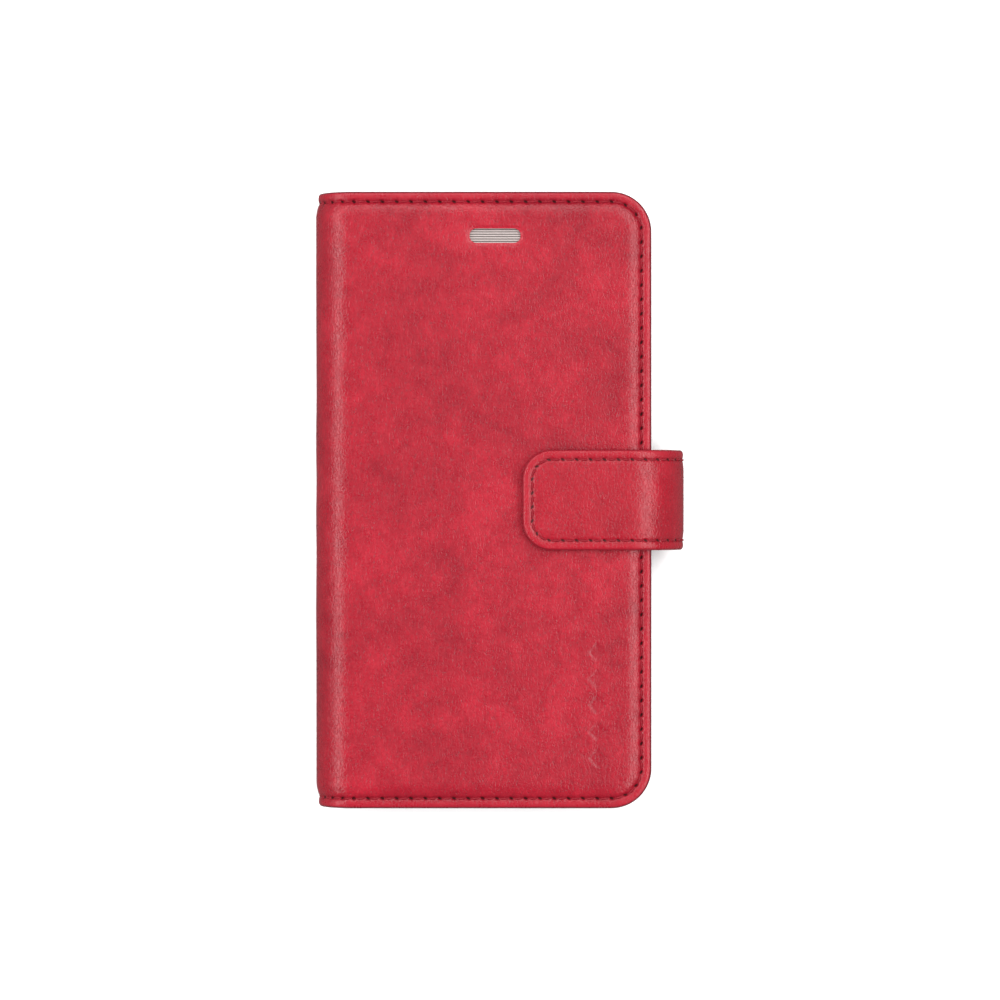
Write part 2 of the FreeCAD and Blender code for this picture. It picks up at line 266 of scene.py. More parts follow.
@dataclass(frozen=True)
class UShape:
    """A plan that is open at one end and has two round corners at the other.

    Attributes:
        reach: length from the open end to the closed end.
        half: half its width.
        corner: the radius of its two round corners.
        inset: how far inside its edge the stitches run.
        pitch: about how far apart the stitches are.
    """

    reach: float
    half: float
    corner: float
    inset: float
    pitch: float

    def edge_distance(self, u: Array, y: Array) -> Array:
        """How far inside the nearest closed edge a point is: the rounded rectangle's signed distance."""
        qu, qy = u - (self.reach - self.corner), np.abs(y) - (self.half - self.corner)
        outside = np.hypot(np.maximum(qu, 0), np.maximum(qy, 0))
        return self.corner - outside - np.minimum(np.maximum(qu, qy), 0)

    @property
    def row_length(self) -> float:
        """The length of the row of stitches."""
        r = self.corner - self.inset
        return 2 * (self.reach - self.corner) + math.pi * r + 2 * (self.half - self.corner)

    @property
    def stitches(self) -> int:
        """The number of stitches in the row."""
        return round(self.row_length / self.pitch)

    def row_count(self, u: Array, y: Array) -> Array:
        """The stitch count at the row's nearest place to a point: arc length over the true pitch."""
        r = self.corner - self.inset
        run, side = self.reach - self.corner, self.half - self.corner
        qu, qy = u - run, np.abs(y) - side
        turn = np.arctan2(np.maximum(qu, 1e-12), np.maximum(qy, 1e-12))
        to_side = np.where(qu > qy, run + math.pi / 2 * r + (side - np.abs(y)), u)
        half_row = np.where((qu > 0) & (qy > 0), run + r * turn, to_side)
        along = np.where(y > 0, half_row, self.row_length - half_row)
        return along / self.row_length * self.stitches

    def row_point(self, count: Array) -> tuple[Array, Array, Array, Array]:
        """The plan place and direction at a stitch count along the row.

        Args:
            count: stitch counts, from 0 at the open end's far side.

        Returns:
            u, y and the direction's two parts, on two straight runs, two arcs and the side between them.
        """
        r = self.corner - self.inset
        run, side = self.reach - self.corner, self.half - self.corner
        s = count / self.stitches * self.row_length
        back = s > self.row_length / 2
        t = np.where(back, self.row_length - s, s)
        turn = np.clip((t - run) / r, 0, math.pi / 2)
        down = np.maximum(t - run - math.pi / 2 * r, 0)
        u = np.minimum(t, run) + r * np.sin(turn)
        y = side + r * np.cos(turn) - down
        du, dy = np.cos(turn), -np.sin(turn)
        flip = np.where(back, -1.0, 1.0)
        return u, y * flip, du * flip, dy

    def ring(self, inset: float, start: float, counts: Sequence[int]) -> Array:
        """A closed ring of plan points at an inset, in the order side, corner, end, corner, side, open end.

        Args:
            inset: how far inside the edge the ring runs.
            start: the ring's u at the open end.
            counts: the number of points on a side, a corner, the closed end and the open end.

        Returns:
            Points as rows of u and y.
        """
        sides, corners, end, opening = counts
        r = max(self.corner - inset, 2.0 * MM)
        far, half = self.reach - inset, self.half - inset
        side = np.linspace(start, far - r, sides, endpoint=False)
        turn = np.linspace(0, math.pi / 2, corners, endpoint=False)
        down = np.linspace(half - r, r - half, end, endpoint=False)
        open_y = fine_ends(opening) * half
        parts = [
            (side, np.full(sides, half)),
            (far - r + r * np.sin(turn), half - r + r * np.cos(turn)),
            (np.full(end, far), down),
            (far - r + r * np.cos(turn), r - half - r * np.sin(turn)),
            (side[::-1] + (far - r - start) / sides, np.full(sides, -half)),
            (np.full(opening, start), open_y),
        ]
        return np.concatenate([np.stack(part, 1) for part in parts])


COVER_PLAN = UShape(SIZES.width, SIZES.half, SIZES.corner, SIZES.stitch_inset, SIZES.pitch)


# ---------------------------------------------------------------- meshes

class MeshMaker:
    """Gathers grids of points and their faces, and makes one mesh object of them."""

    def __init__(self) -> None:
        """Starts with no points."""
        self.points: list[Array] = []
        self.quads: list[Array] = []
        self.polygons: list[list[int]] = []
        self.marks: dict[str, list[Array]] = {HIDE: [], SEAM: []}
        self.count = 0

    def add(self, points: Array, hide: Optional[Array] = None, seam: Optional[Array] = None) -> Array:
        """Adds a block of points with their marks.

        Args:
            points: an array whose last axis is X, Y, Z.
            hide: the place on the leather laid flat, the same shape.
            seam: the seam marks, the same shape.

        Returns:
            The points' numbers, shaped as the block.
        """
        shape = points.shape[:-1]
        numbers = np.arange(self.count, self.count + int(np.prod(shape))).reshape(shape)
        self.count += numbers.size
        self.points.append(points.reshape(-1, 3))
        self.marks[HIDE].append((points if hide is None else hide).reshape(-1, 3))
        far = np.zeros_like(points) + np.array([0.5, 99.0, 99.0])
        self.marks[SEAM].append((far if seam is None else seam).reshape(-1, 3))
        return numbers

    def faces(self, numbers: Array, wrap: bool = False) -> None:
        """Joins grids of point numbers with quads.

        Args:
            numbers: rows and columns of point numbers in the last two axes.
            wrap: whether the last column meets the first.
        """
        if wrap:
            numbers = np.concatenate([numbers, numbers[..., :1]], -1)
        a, b = numbers[..., :-1, :-1], numbers[..., :-1, 1:]
        c, d = numbers[..., 1:, 1:], numbers[..., 1:, :-1]
        self.quads.append(np.stack((a, b, c, d), -1).reshape(-1, 4))

    def build(self, name: str, sharp: float = 42.0) -> bpy.types.Object:
        """Makes the object with outward faces, its marks as vertex attributes and smooth shading.

        Args:
            name: the piece's name.
            sharp: the angle between faces, in degrees, past which their edge is sharp.

        Returns:
            The object, linked to the scene.
        """
        mesh = bpy.data.meshes.new(name)
        faces = np.concatenate(self.quads).tolist() + self.polygons
        mesh.from_pydata(np.concatenate(self.points).tolist(), [], faces)
        form = bmesh.new()
        form.from_mesh(mesh)
        bmesh.ops.recalc_face_normals(form, faces=form.faces)
        form.to_mesh(mesh)
        form.free()
        for mark, blocks in self.marks.items():
            attribute = mesh.attributes.new(mark, "FLOAT_VECTOR", "POINT")
            attribute.data.foreach_set("vector", np.concatenate(blocks).astype(np.float32).ravel())
        mesh.shade_smooth()
        mesh.set_sharp_from_angle(angle=math.radians(sharp))
        mesh.update()
        obj = bpy.data.objects.new(name, mesh)
        bpy.context.scene.collection.objects.link(obj)
        return obj


def slab(name: str, top: Array, bottom: Array, hide: Array, seam: Optional[Array] = None,
         ring: bool = False, cap: bool = False, sharp: float = 42.0, under_rows: Optional[Array] = None,
         hide_under: Optional[Array] = None) -> bpy.types.Object:
    """A closed sheet between two grids of points: both faces, and straight walls between their borders.

    Args:
        name: the piece's name.
        top: rows and columns of points on the shown face.
        bottom: the points on the other face, the same shape.
        hide: the place on the leather laid flat, the same shape.
        seam: the seam marks, the same shape.
        ring: whether each row is a closed loop.
        cap: whether the last loops are filled, with no wall between them.
        sharp: the angle past which an edge is sharp, in degrees.
        under_rows: the rows that the other face keeps, the first and last among them.
        hide_under: the other face's place on the leather laid flat, where it isn't the shown face's.

    Returns:
        The object.
    """
    maker = MeshMaker()
    kept = np.arange(len(bottom)) if under_rows is None else under_rows
    below = hide if hide_under is None else hide_under
    outer = maker.add(top, hide, seam)
    inner = maker.add(bottom[kept], below[kept], None if seam is None else seam[kept])
    maker.faces(outer, ring)
    maker.faces(inner, ring)
    if not ring:
        borders = [np.concatenate([g[0, :-1], g[:-1, -1], g[-1, :0:-1], g[:0:-1, 0]]) for g in (outer, inner)]
        maker.faces(np.stack(borders), True)
    else:
        maker.faces(np.stack([outer[0], inner[0]]), True)
        if cap:
            maker.polygons += [outer[-1].tolist(), inner[-1].tolist()]
        else:
            maker.faces(np.stack([outer[-1], inner[-1]]), True)
    return maker.build(name, sharp)


def on_path(path: "SpinePath | StrapPath | InnerFace", u: Array, y: Array, n: Array) -> Array:
    """Points on a path's face at arc length u, across at y, at height n."""
    x, z = path.place(u, n)
    return np.stack([x, y + 0 * x, z], -1)


def marks_at(plan: UShape, u: Array, y: Array, count: Optional[Array] = None) -> Array:
    """The seam marks of plan points: stitch count, distance from the row and distance from the edge."""
    edge = plan.edge_distance(u, y)
    along = plan.row_count(u, y) if count is None else count
    return np.stack([along, (edge - plan.inset) / MM, edge / MM], -1)


@dataclass(frozen=True)
class Relief:
    """How the outer face rises and falls near a stitched edge.

    Attributes:
        drop: how much lower the rim is than the padded middle.
        swell: how far inside the row the padding takes to reach its full height.
        groove: the depth that the row of stitches pulls the leather in.
        pucker: how much deeper the leather lies round each hole.
        round_edge: how far in the rim's outer edge is rounded.
        hole: the depth of a needle's hole.
        slant: how far a hole leans out of the row, for each unit along it.
    """

    drop: float = SIZES.rim_drop
    swell: float = 3.4 * MM
    groove: float = 0.2 * MM
    pucker: float = 0.16 * MM
    round_edge: float = 1.1 * MM
    hole: float = 0.42 * MM
    slant: float = 0.3

    def height(self, seam: Array) -> Array:
        """The height at points with these seam marks.

        The rim is a low arch, the row a bell-shaped groove that is deeper at each whole stitch count, and
        inside the row the face climbs as one minus a power of the distance left. A needle's hole is a steep
        slanted bell, and the outer edge a quarter ellipse.
        """
        count, row, edge = seam[..., 0], seam[..., 1] * MM, np.maximum(seam[..., 2] * MM, 0)
        left = 1 - np.clip(row / self.swell, 0, 1)
        climb = -self.drop * left ** 1.7
        rim = 0.1 * MM * np.sin(np.clip(edge / (2.2 * MM), 0, 1) * math.pi)
        pull = 0.5 + 0.5 * np.cos(2 * math.pi * count)
        groove = -(self.groove + self.pucker * pull) * np.exp(-(row / (0.45 * MM)) ** 2)
        ripple = -0.4 * self.pucker * pull * np.exp(-((row - 0.9 * MM) / (1.0 * MM)) ** 2)
        along = (count - np.round(count)) * SIZES.pitch
        aside = row - self.slant * along
        needle = -self.hole * np.exp(-(along / (0.42 * MM)) ** 2 - (aside / (0.27 * MM)) ** 2)
        inside = np.clip(1 - edge / self.round_edge, 0, 1)
        rounding = -0.5 * self.round_edge * (1 - np.sqrt(1 - inside ** 2))
        return climb + rim + groove + ripple + needle + rounding


COVER_RELIEF = Relief()
BACK_RELIEF = Relief(drop=0.35 * MM, groove=0.12 * MM, pucker=0.1 * MM, round_edge=0.7 * MM, hole=0.3 * MM)
TAB_RELIEF = Relief(drop=0.22 * MM, swell=2.6 * MM, groove=0.1 * MM, pucker=0.08 * MM, round_edge=1.0 * MM,
                    hole=0.32 * MM, slant=-0.3)

# Distances from an edge where a grid has its rows: fine at the edge and the stitches, wide in the middle
EDGE_ROWS = np.array([0, 0.06, 0.16, 0.3, 0.5, 0.8, 1.15, 1.5, 1.75, 1.95, 2.1, 2.23, 2.35, 2.47, 2.6, 2.78,
                      3.0, 3.3, 3.7, 4.2, 4.8, 5.5, 6.3, 7.2]) * MM


def across(half: float, middle: int) -> Array:
    """Columns across a strip of half-width half, fine at both edges, from +half to -half."""
    edge = EDGE_ROWS[EDGE_ROWS < half * 0.9]
    inner = np.linspace(half - edge[-1], edge[-1] - half, middle + 2)[1:-1]
    return np.concatenate([half - edge, inner, (edge - half)[::-1]])


# ---------------------------------------------------------------- shader nodes

class Wire:
    """A shader socket with arithmetic: each operator adds a Math node."""

    def __init__(self, shader: "Shader", socket: bpy.types.NodeSocket) -> None:
        """Keeps the socket and the shader that it belongs to."""
        self.shader = shader
        self.socket = socket

    def _math(self, operation: str, *values: "Wire | float") -> "Wire":
        """A Math node with these values."""
        return self.shader.node("ShaderNodeMath", {"operation": operation}, dict(enumerate(values)))

    def __add__(self, other: "Wire | float") -> "Wire":
        """Self plus other."""
        return self._math("ADD", self, other)

    __radd__ = __add__

    def __mul__(self, other: "Wire | float") -> "Wire":
        """Self times other."""
        return self._math("MULTIPLY", self, other)

    __rmul__ = __mul__

    def __sub__(self, other: "Wire | float") -> "Wire":
        """Self less other."""
        return self._math("SUBTRACT", self, other)

    def __rsub__(self, other: "Wire | float") -> "Wire":
        """Other less self."""
        return self._math("SUBTRACT", other, self)

    def __abs__(self) -> "Wire":
        """The size of self, without its sign."""
        return self._math("ABSOLUTE", self)

    def maximum(self, other: "Wire | float") -> "Wire":
        """The larger of self and other."""
        return self._math("MAXIMUM", self, other)

    def power(self, exponent: float) -> "Wire":
        """Self to a power."""
        return self._math("POWER", self, exponent)

    def hypot(self, other: "Wire") -> "Wire":
        """The root of the sum of two squares."""
        return (self * self + other * other).power(0.5)

    def sine(self) -> "Wire":
        """The sine of self, in radians."""
        return self._math("SINE", self)

    def rounded(self) -> "Wire":
        """The nearest whole number."""
        return self._math("ROUND", self)

    def from_whole(self) -> "Wire":
        """The distance to the nearest whole number."""
        return abs(self - self.rounded())

    def between(self, start: float, end: float) -> "Wire":
        """0 before start, 1 after end, and smooth between; start may be the larger."""
        return self.shader.node(
            "ShaderNodeMapRange", {"interpolation_type": "SMOOTHSTEP"},
            {"Value": self, "From Min": start, "From Max": end})


class Shader:
    """One material and its nodes."""

    def __init__(self, name: str) -> None:
        """Makes a material without nodes."""
        self.material = bpy.data.materials.new(name)
        self.material.use_nodes = True
        self.tree = self.material.node_tree
        self.tree.nodes.clear()

    def node(self, kind: str, settings: Optional[dict] = None, values: Optional[dict] = None,
             output: int | str = 0) -> Wire:
        """Adds a node.

        Args:
            kind: the node's type.
            settings: its settings, set first.
            values: numbers, colours or wires by socket name or number.
            output: the output that is returned.

        Returns:
            The output's wire.
        """
        node = self.tree.nodes.new(kind)
        for key, value in (settings or {}).items():
            setattr(node, key, value)
        for key, value in (values or {}).items():
            if isinstance(value, Wire):
                self.tree.links.new(value.socket, node.inputs[key])
            else:
                node.inputs[key].default_value = value
        return Wire(self, node.outputs[output])

    def attribute(self, name: str) -> Wire:
        """A vector attribute of the mesh."""
        return self.node("ShaderNodeAttribute", {"attribute_name": name}, output="Vector")

    def hide(self) -> Wire:
        """The place on the leather laid flat, in millimetres."""
        return self.scaled(self.attribute(HIDE), 1 / MM, 1 / MM, 1 / MM)

    def split(self, vector: Wire) -> tuple[Wire, Wire, Wire]:
        """A vector's three parts."""
        first = self.node("ShaderNodeSeparateXYZ", None, {0: vector})
        _, second, third = first.socket.node.outputs
        return first, Wire(self, second), Wire(self, third)

    def scaled(self, vector: Wire, x: float, y: float, z: float) -> Wire:
        """A vector with its parts multiplied."""
        return self.node("ShaderNodeVectorMath", {"operation": "MULTIPLY"}, {0: vector, 1: (x, y, z)})

    def noise(self, vector: Wire, scale: float, detail: float = 3.0, rough: float = 0.55,
              bend: float = 0.0) -> Wire:
        """Noise from 0 to 1 about a half, with this many cells in a unit."""
        return self.node("ShaderNodeTexNoise", None, {"Vector": vector, "Scale": scale, "Detail": detail,
                                                      "Roughness": rough, "Distortion": bend})

    def cells(self, vector: Wire, scale: float, feature: str = "DISTANCE_TO_EDGE") -> Wire:
        """Cell noise: the distance to the cells' edges or to their points."""
        return self.node("ShaderNodeTexVoronoi", {"feature": feature}, {"Vector": vector, "Scale": scale},
                         output="Distance")

    def mix(self, factor: Wire | float, first: Wire | tuple, second: Wire | tuple) -> Wire:
        """A colour between two colours."""
        return self.node("ShaderNodeMix", {"data_type": "RGBA"}, {0: factor, 6: first, 7: second}, output=2)

    def bump(self, height: Wire, distance: float, strength: float = 1.0,
             below: Optional[Wire] = None) -> Wire:
        """A surface direction tilted by a height, which is distance metres for each unit."""
        values = {"Strength": strength, "Distance": distance, "Height": height}
        if below is not None:
            values["Normal"] = below
        return self.node("ShaderNodeBump", None, values)

    def finish(self, **values: Wire | float | tuple) -> bpy.types.Material:
        """Ends the material with a Principled surface.

        Args:
            values: the surface's sockets, with underscores for spaces.

        Returns:
            The material.
        """
        named = {key.replace("_", " "): value for key, value in values.items()}
        surface = self.node("ShaderNodeBsdfPrincipled", None, named)
        output = self.tree.nodes.new("ShaderNodeOutputMaterial")
        self.tree.links.new(surface.socket, output.inputs[0])
        return self.material


def screen(r: float, g: float, b: float) -> tuple[float, float, float, float]:
    """A screen colour, 0 to 255, as a linear one."""
    def linear(value: float) -> float:
        v = value / 255
        return v / 12.92 if v <= 0.04045 else ((v + 0.055) / 1.055) ** 2.4
    return linear(r), linear(g), linear(b), 1.0


@dataclass(frozen=True)
class Leather:
    """Pebbled leather with mottled dye and pores, painted shade in its stitch holes, along its stitch groove
    and on its edge paint, and painted highlights on its rim and round the earpiece slot.

    Attributes:
        name: the material's name.
        deep, middle, light: the dye where it is darkest, usual and lightest; deep is also the painted shade
            in the stitch groove, and light the painted highlights on the rim and round the slot.
        edge: the edge paint, dark as painted shade on the rounded edge.
        pore: the colour in creases and pores.
        hole: the painted shade inside a stitch hole.
        slant: how far a hole leans out of the row, for each unit along it.
        grain: the grain's depth in metres.
        rough: the usual roughness.
        patch, cloud, streak, pebble, pore_scale, wrinkle: each pattern's cells in a millimetre.
        painted: where the edge paint, darkened as painted shade on the rounded edge, ends and starts, in
            millimetres from the edge.
        ornament: whether the closed cover's pressed row of lozenges, and the painted highlight round its
            earpiece slot, are on it.
    """

    name: str
    deep: tuple = screen(119, 9, 26)
    middle: tuple = screen(134, 13, 30)
    light: tuple = screen(147, 19, 36)
    edge: tuple = screen(92, 20, 30)
    pore: tuple = screen(98, 8, 22)
    hole: tuple = screen(58, 2, 6)
    slant: float = 0.3
    grain: float = 0.08 * MM
    rough: float = 0.28
    ornament: bool = False
    patch: float = 0.05
    cloud: float = 0.2
    streak: float = 1.15
    pebble: float = 1.25
    pore_scale: float = 1.45
    wrinkle: float = 1.0
    painted: tuple = (0.4, 0.24)

    def material(self) -> bpy.types.Material:
        """Makes the material."""
        s = Shader(self.name)
        hide = s.hide()
        count, row, edge = s.split(s.attribute(SEAM))
        patches = s.noise(hide, self.patch, 2.0, 0.5, 0.7)
        clouds = s.noise(hide, self.cloud, 3.0, 0.6, 0.3)
        streaks = s.noise(s.scaled(hide, 1.0, 0.42, 1.0), self.streak, 2.0, 0.6, 0.4)
        dye = patches * 0.42 + clouds * 0.33 + streaks * 0.25
        colour = s.mix(dye.between(0.35, 0.52), self.deep, self.middle)
        colour = s.mix(dye.between(0.49, 0.62), colour, self.light)
        crease = s.cells(s.scaled(hide, 1.0, 0.66, 1.0), self.pebble).between(0.2, 0.0)
        pores = s.cells(s.scaled(hide, 1.0, 0.5, 1.0), self.pore_scale, "F1").between(0.27, 0.12)
        wrinkle = s.noise(s.scaled(hide, 0.45, 2.0, 1.0), self.wrinkle, 2.0, 0.5, 0.8)
        colour = s.mix(crease * 0.2 + pores * 0.42, colour, self.pore)
        pitch = SIZES.pitch / MM
        along = count.from_whole() * pitch
        lean = (count - count.rounded()) * (self.slant * pitch)
        # Painted shade in each stitch hole: a slanted spot at every whole stitch count, mixed to the hole
        # colour below.
        pit = along.hypot((row - lean) * 1.7).between(0.62, 0.36)
        # Painted shade: darker towards the deep dye along the stitch row's groove.
        press = abs(row).between(1.0, 0.1) * 0.25
        colour = s.mix(press, colour, self.deep)
        colour = s.mix(pit, colour, self.hole)
        # Painted highlight: a lighter band 1 to 1.9 mm inside the edge, where the rounded rim faces the side
        # lights.
        colour = s.mix(edge.between(1.9, 1.0) * 0.45, colour, self.light)
        # The edge paint is darker than the leather as painted shade on the rounded edge; the grain is also
        # smoothed under it.
        painted = edge.between(*self.painted)
        colour = s.mix(painted, colour, self.edge)
        grain = crease * -0.5 + streaks * 0.9 + wrinkle * 0.8 - pores * 0.5
        normal = s.bump(clouds, 0.3 * MM, 0.5)
        normal = s.bump(grain * (1 - painted * 0.7), self.grain, 0.7, normal)
        if self.ornament:
            mark = ornament_mask(s, hide)
            colour = s.mix(mark * 0.45, colour, self.deep)
            # Painted highlight: a lighter line round the earpiece slot's lip.
            colour = s.mix(slot_rim_highlight(s, hide) * 0.8, colour, self.light)
        rough = self.rough + (clouds - 0.5) * 0.16 + crease * 0.08 + pit * 0.4
        return s.finish(Base_Color=colour, Roughness=rough, Normal=normal, Specular_IOR_Level=0.45)


@dataclass(frozen=True)
class Ornament:
    """A blind-pressed row of plain lozenges near the free edge.

    Attributes:
        u, y: the row's middle, in millimetres, as are the other sizes but the depth.
        count: the number of lozenges.
        spacing: the distance between their middles.
        half_width, half_length: half a lozenge's size across the row and along it.
        depth: how deep they are pressed.
    """

    u: float = 57.2
    y: float = -48.2
    count: int = 5
    spacing: float = 6.2
    half_width: float = 2.2
    half_length: float = 2.6
    depth: float = 0.2 * MM

    def press(self, u: Array, y: Array) -> Array:
        """How far the stamp presses the leather in at plan points, in metres: lozenges with sloping sides."""
        along = (y / MM - self.y) / self.spacing
        within = ease((self.count / 2 - np.abs(along)) / 0.02)
        offset = (along - np.round(along)) * self.spacing
        lozenge = np.abs(u / MM - self.u) / self.half_width + np.abs(offset) / self.half_length
        return self.depth * ease((1.0 - lozenge) / 0.24) * within


def slot_rim_highlight(s: Shader, hide: Wire) -> Wire:
    """Where the painted highlight round the earpiece slot goes: 1 at the slot's edge, falling to 0 in the
    next half millimetre: the rounded box's distance.
    """
    lo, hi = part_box("shield_fabric")
    u0, y0 = ((lo[0] + hi[0]) / 2 - SIZES.spine_x) / MM, (lo[1] + hi[1]) / 2 / MM
    straight, upright = 4.4, 0.15
    u, y, _ = s.split(hide)
    away = (abs(u - u0) - straight).maximum(0.0).hypot((abs(y - y0) - upright).maximum(0.0))
    return away.between(2.35, 1.75)


def ornament_mask(s: Shader, hide: Wire) -> Wire:
    """1 inside the row of lozenges: where the sum of the two scaled distances is less than 1."""
    mark = Ornament()
    u, y, _ = s.split(hide)
    along = (y - mark.y) * (1 / mark.spacing)
    middle = (mark.count - 1) / 2
    within = abs(along).between(middle + 0.49, middle + 0.47)
    offset = along.from_whole() * mark.spacing
    lozenge = abs(u - mark.u) * (1 / mark.half_width) + offset * (1 / mark.half_length)
    return lozenge.between(1.0, 0.86) * within


@dataclass(frozen=True)
class Thread:
    """Twisted thread: fine slanting strands along the stitch."""

    name: str = "thread"
    dark: tuple = screen(92, 10, 20)
    light: tuple = screen(142, 26, 40)
    strands: float = 62.0

    def material(self) -> bpy.types.Material:
        """Makes the material; the strands are a sine of the stitch count plus the turn round the thread."""
        s = Shader(self.name)
        count, turn, _ = s.split(s.attribute(SEAM))
        twist = (count * self.strands + turn * (2 * math.pi)).sine() * 0.5 + 0.5
        fuzz = s.noise(s.hide(), 5.0, 2.0)
        colour = s.mix(twist * 0.7 + fuzz * 0.3, self.dark, self.light)
        return s.finish(Base_Color=colour, Roughness=0.55 + fuzz * 0.2, Normal=s.bump(twist, 0.06 * MM, 0.7),
                        Specular_IOR_Level=0.3)


@dataclass(frozen=True)
class RibbedFabric:
    """Silver-grey ribbed fabric, with fine crossing threads on each rib and painted shade in the valleys
    between ribs.
    """

    name: str = "shield_fabric"
    dark: tuple = screen(66, 60, 58)
    light: tuple = screen(166, 155, 152)
    pitch: float = 0.56
    thread: float = 0.34

    def material(self) -> bpy.types.Material:
        """Makes the material; a rib is a sine across the fabric and the threads are a finer sine along it."""
        s = Shader(self.name)
        hide = s.hide()
        u, y, _ = s.split(hide)
        rib = (y * (2 * math.pi / self.pitch)).sine() * 0.5 + 0.5
        thread = (u * (2 * math.pi / self.thread) + rib * 2.0).sine() * 0.5 + 0.5
        slub = s.noise(s.scaled(hide, 0.5, 3.0, 1.0), 1.6, 2.0)
        # Painted shade: the colour runs from dark in the valleys between ribs to light on their crests.
        tone = rib.between(0.05, 0.6) * 0.75 + thread * 0.1 + slub * 0.3
        colour = s.mix(tone.between(0.1, 0.95), self.dark, self.light)
        normal = s.bump(thread * rib, 0.05 * MM, 0.6)
        return s.finish(Base_Color=colour, Roughness=0.42 + slub * 0.2, Metallic=0.25, Normal=normal)


@dataclass(frozen=True)
class Lining:
    """Smooth lining with a fine grain, duller than the outside, with painted shade in its stitch holes and
    along its edge.
    """

    name: str = "lining"
    deep: tuple = screen(96, 8, 20)
    light: tuple = screen(114, 13, 27)
    # Painted shade in the stitch holes and along the edge.
    hole: tuple = screen(44, 5, 10)

    def material(self) -> bpy.types.Material:
        """Makes the material, on each piece's place laid flat."""
        s = Shader(self.name)
        hide = s.hide()
        count, row, edge = s.split(s.attribute(SEAM))
        tone = s.noise(hide, 0.12, 3.0, 0.6) * 0.6 + s.noise(s.scaled(hide, 1, 3, 1), 1.6, 2.0) * 0.4
        colour = s.mix(tone.between(0.3, 0.7), self.deep, self.light)
        # Painted shade: stitch holes, and the last 0.3 mm at the edge, darkened to the hole colour.
        pit = (count.from_whole() * (SIZES.pitch / MM)).hypot(row * 1.5).between(0.55, 0.3)
        colour = s.mix(pit.maximum(edge.between(0.3, 0.1) * 0.6), colour, self.hole)
        grain = s.cells(hide, 2.4)
        normal = s.bump(grain.between(0.0, 0.3) - pit, 0.05 * MM, 0.6)
        return s.finish(Base_Color=colour, Roughness=0.62 + tone * 0.15, Normal=normal,
                        Specular_IOR_Level=0.3)


class Surface(Enum):
    """Finishes of the plain pieces: name, darker and lighter colour, roughness, metallic, bump in mm."""

    TRAY = ("tray_plastic", screen(84, 6, 14), screen(92, 9, 18), 0.55, 0.0, 0.012)
    BOARD = ("greyboard", screen(98, 92, 84), screen(120, 113, 103), 0.85, 0.0, 0.06)
    ADHESIVE = ("adhesive", screen(190, 186, 172), screen(216, 212, 200), 0.35, 0.0, 0.03)
    STEEL = ("steel", screen(120, 122, 126), screen(168, 170, 174), 0.3, 1.0, 0.01)
    NICKEL = ("nickel", screen(150, 150, 154), screen(200, 200, 204), 0.18, 1.0, 0.005)

    def material(self) -> bpy.types.Material:
        """Makes the material: fine speckle over slow clouds, read from the piece's own coordinates."""
        name, dark, light, rough, metal, depth = self.value
        s = Shader(name)
        place = s.node("ShaderNodeTexCoord", output="Object")
        millimetres = s.scaled(place, 1 / MM, 1 / MM, 1 / MM)
        clouds = s.noise(millimetres, 0.2, 3.0)
        speckle = s.noise(millimetres, 3.0, 2.0, 0.7)
        colour = s.mix((clouds * 0.6 + speckle * 0.4).between(0.35, 0.65), dark, light)
        return s.finish(Base_Color=colour, Roughness=rough + (speckle - 0.5) * 0.15, Metallic=metal,
                        Normal=s.bump(speckle, depth * MM, 0.7), Specular_IOR_Level=0.35)


class Finishes:
    """The materials of the case, made once."""

    def __init__(self) -> None:
        """Makes every material."""
        self.cover = Leather("cover_leather", ornament=True).material()
        self.back = Leather("back_leather").material()
        # The strap's edge paint is darker than its leather as painted shade on the rounded edge, less so than
        # the covers'.
        self.strap = Leather("strap_leather", deep=screen(124, 8, 25), middle=screen(136, 12, 29),
                             light=screen(146, 17, 34), edge=screen(122, 16, 30), slant=-0.3).material()
        self.thread = Thread().material()
        self.shield = RibbedFabric().material()
        self.lining = Lining().material()
        self.plain = {surface: surface.material() for surface in Surface}


# ---------------------------------------------------------------- helpers for pieces

def finished(obj: bpy.types.Object, material: bpy.types.Material, body: Optional[str] = None,
             nodes: Sequence[str] = ()) -> bpy.types.Object:
    """Dresses a piece and reports it.

    Args:
        obj: the piece.
        material: its material.
        body: the body that it rides on, where it hasn't one yet.
        nodes: the frame's nodes that it stands for.

    Returns:
        The piece.
    """
    obj.data.materials.append(material)
    if body:
        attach(obj, body)
    if nodes:
        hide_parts(*nodes)
    LOG.info("%s: %d faces", obj.name, len(obj.data.polygons))
    return obj


def bends(chain: Sequence[str]) -> list[tuple[str, str, str, float, float]]:
    """The parts between a chain's bodies: number, both bodies, and its two angles in a half turn."""
    step = 180.0 / (len(chain) - 1)
    return [(str(n + 1), chain[n], chain[n + 1], n * step, (n + 1) * step) for n in range(len(chain) - 1)]


def node_pair(group: str, label: str, exist: bool) -> tuple[tuple, tuple]:
    """A bending part's leather and lining nodes; the last part has none of its own."""
    return tuple((group + layer + label,) if exist else () for layer in ("_leather_", "_lining_"))


def bend_between(obj: bpy.types.Object, path: SpinePath | StrapPath, first: str, second: str,
                 start: float, end: float) -> None:
    """Bakes a piece's placement into its mesh; the path's points near its two turning angles are found, and
    the two bodies passed, but nothing uses them.
    """
    margin = 2.0
    ends = [on_path(path, np.array(path.at_turn(a)), np.array(0.0), np.array(0.0))
            for a in (start + margin, end - margin)]
    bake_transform(obj)


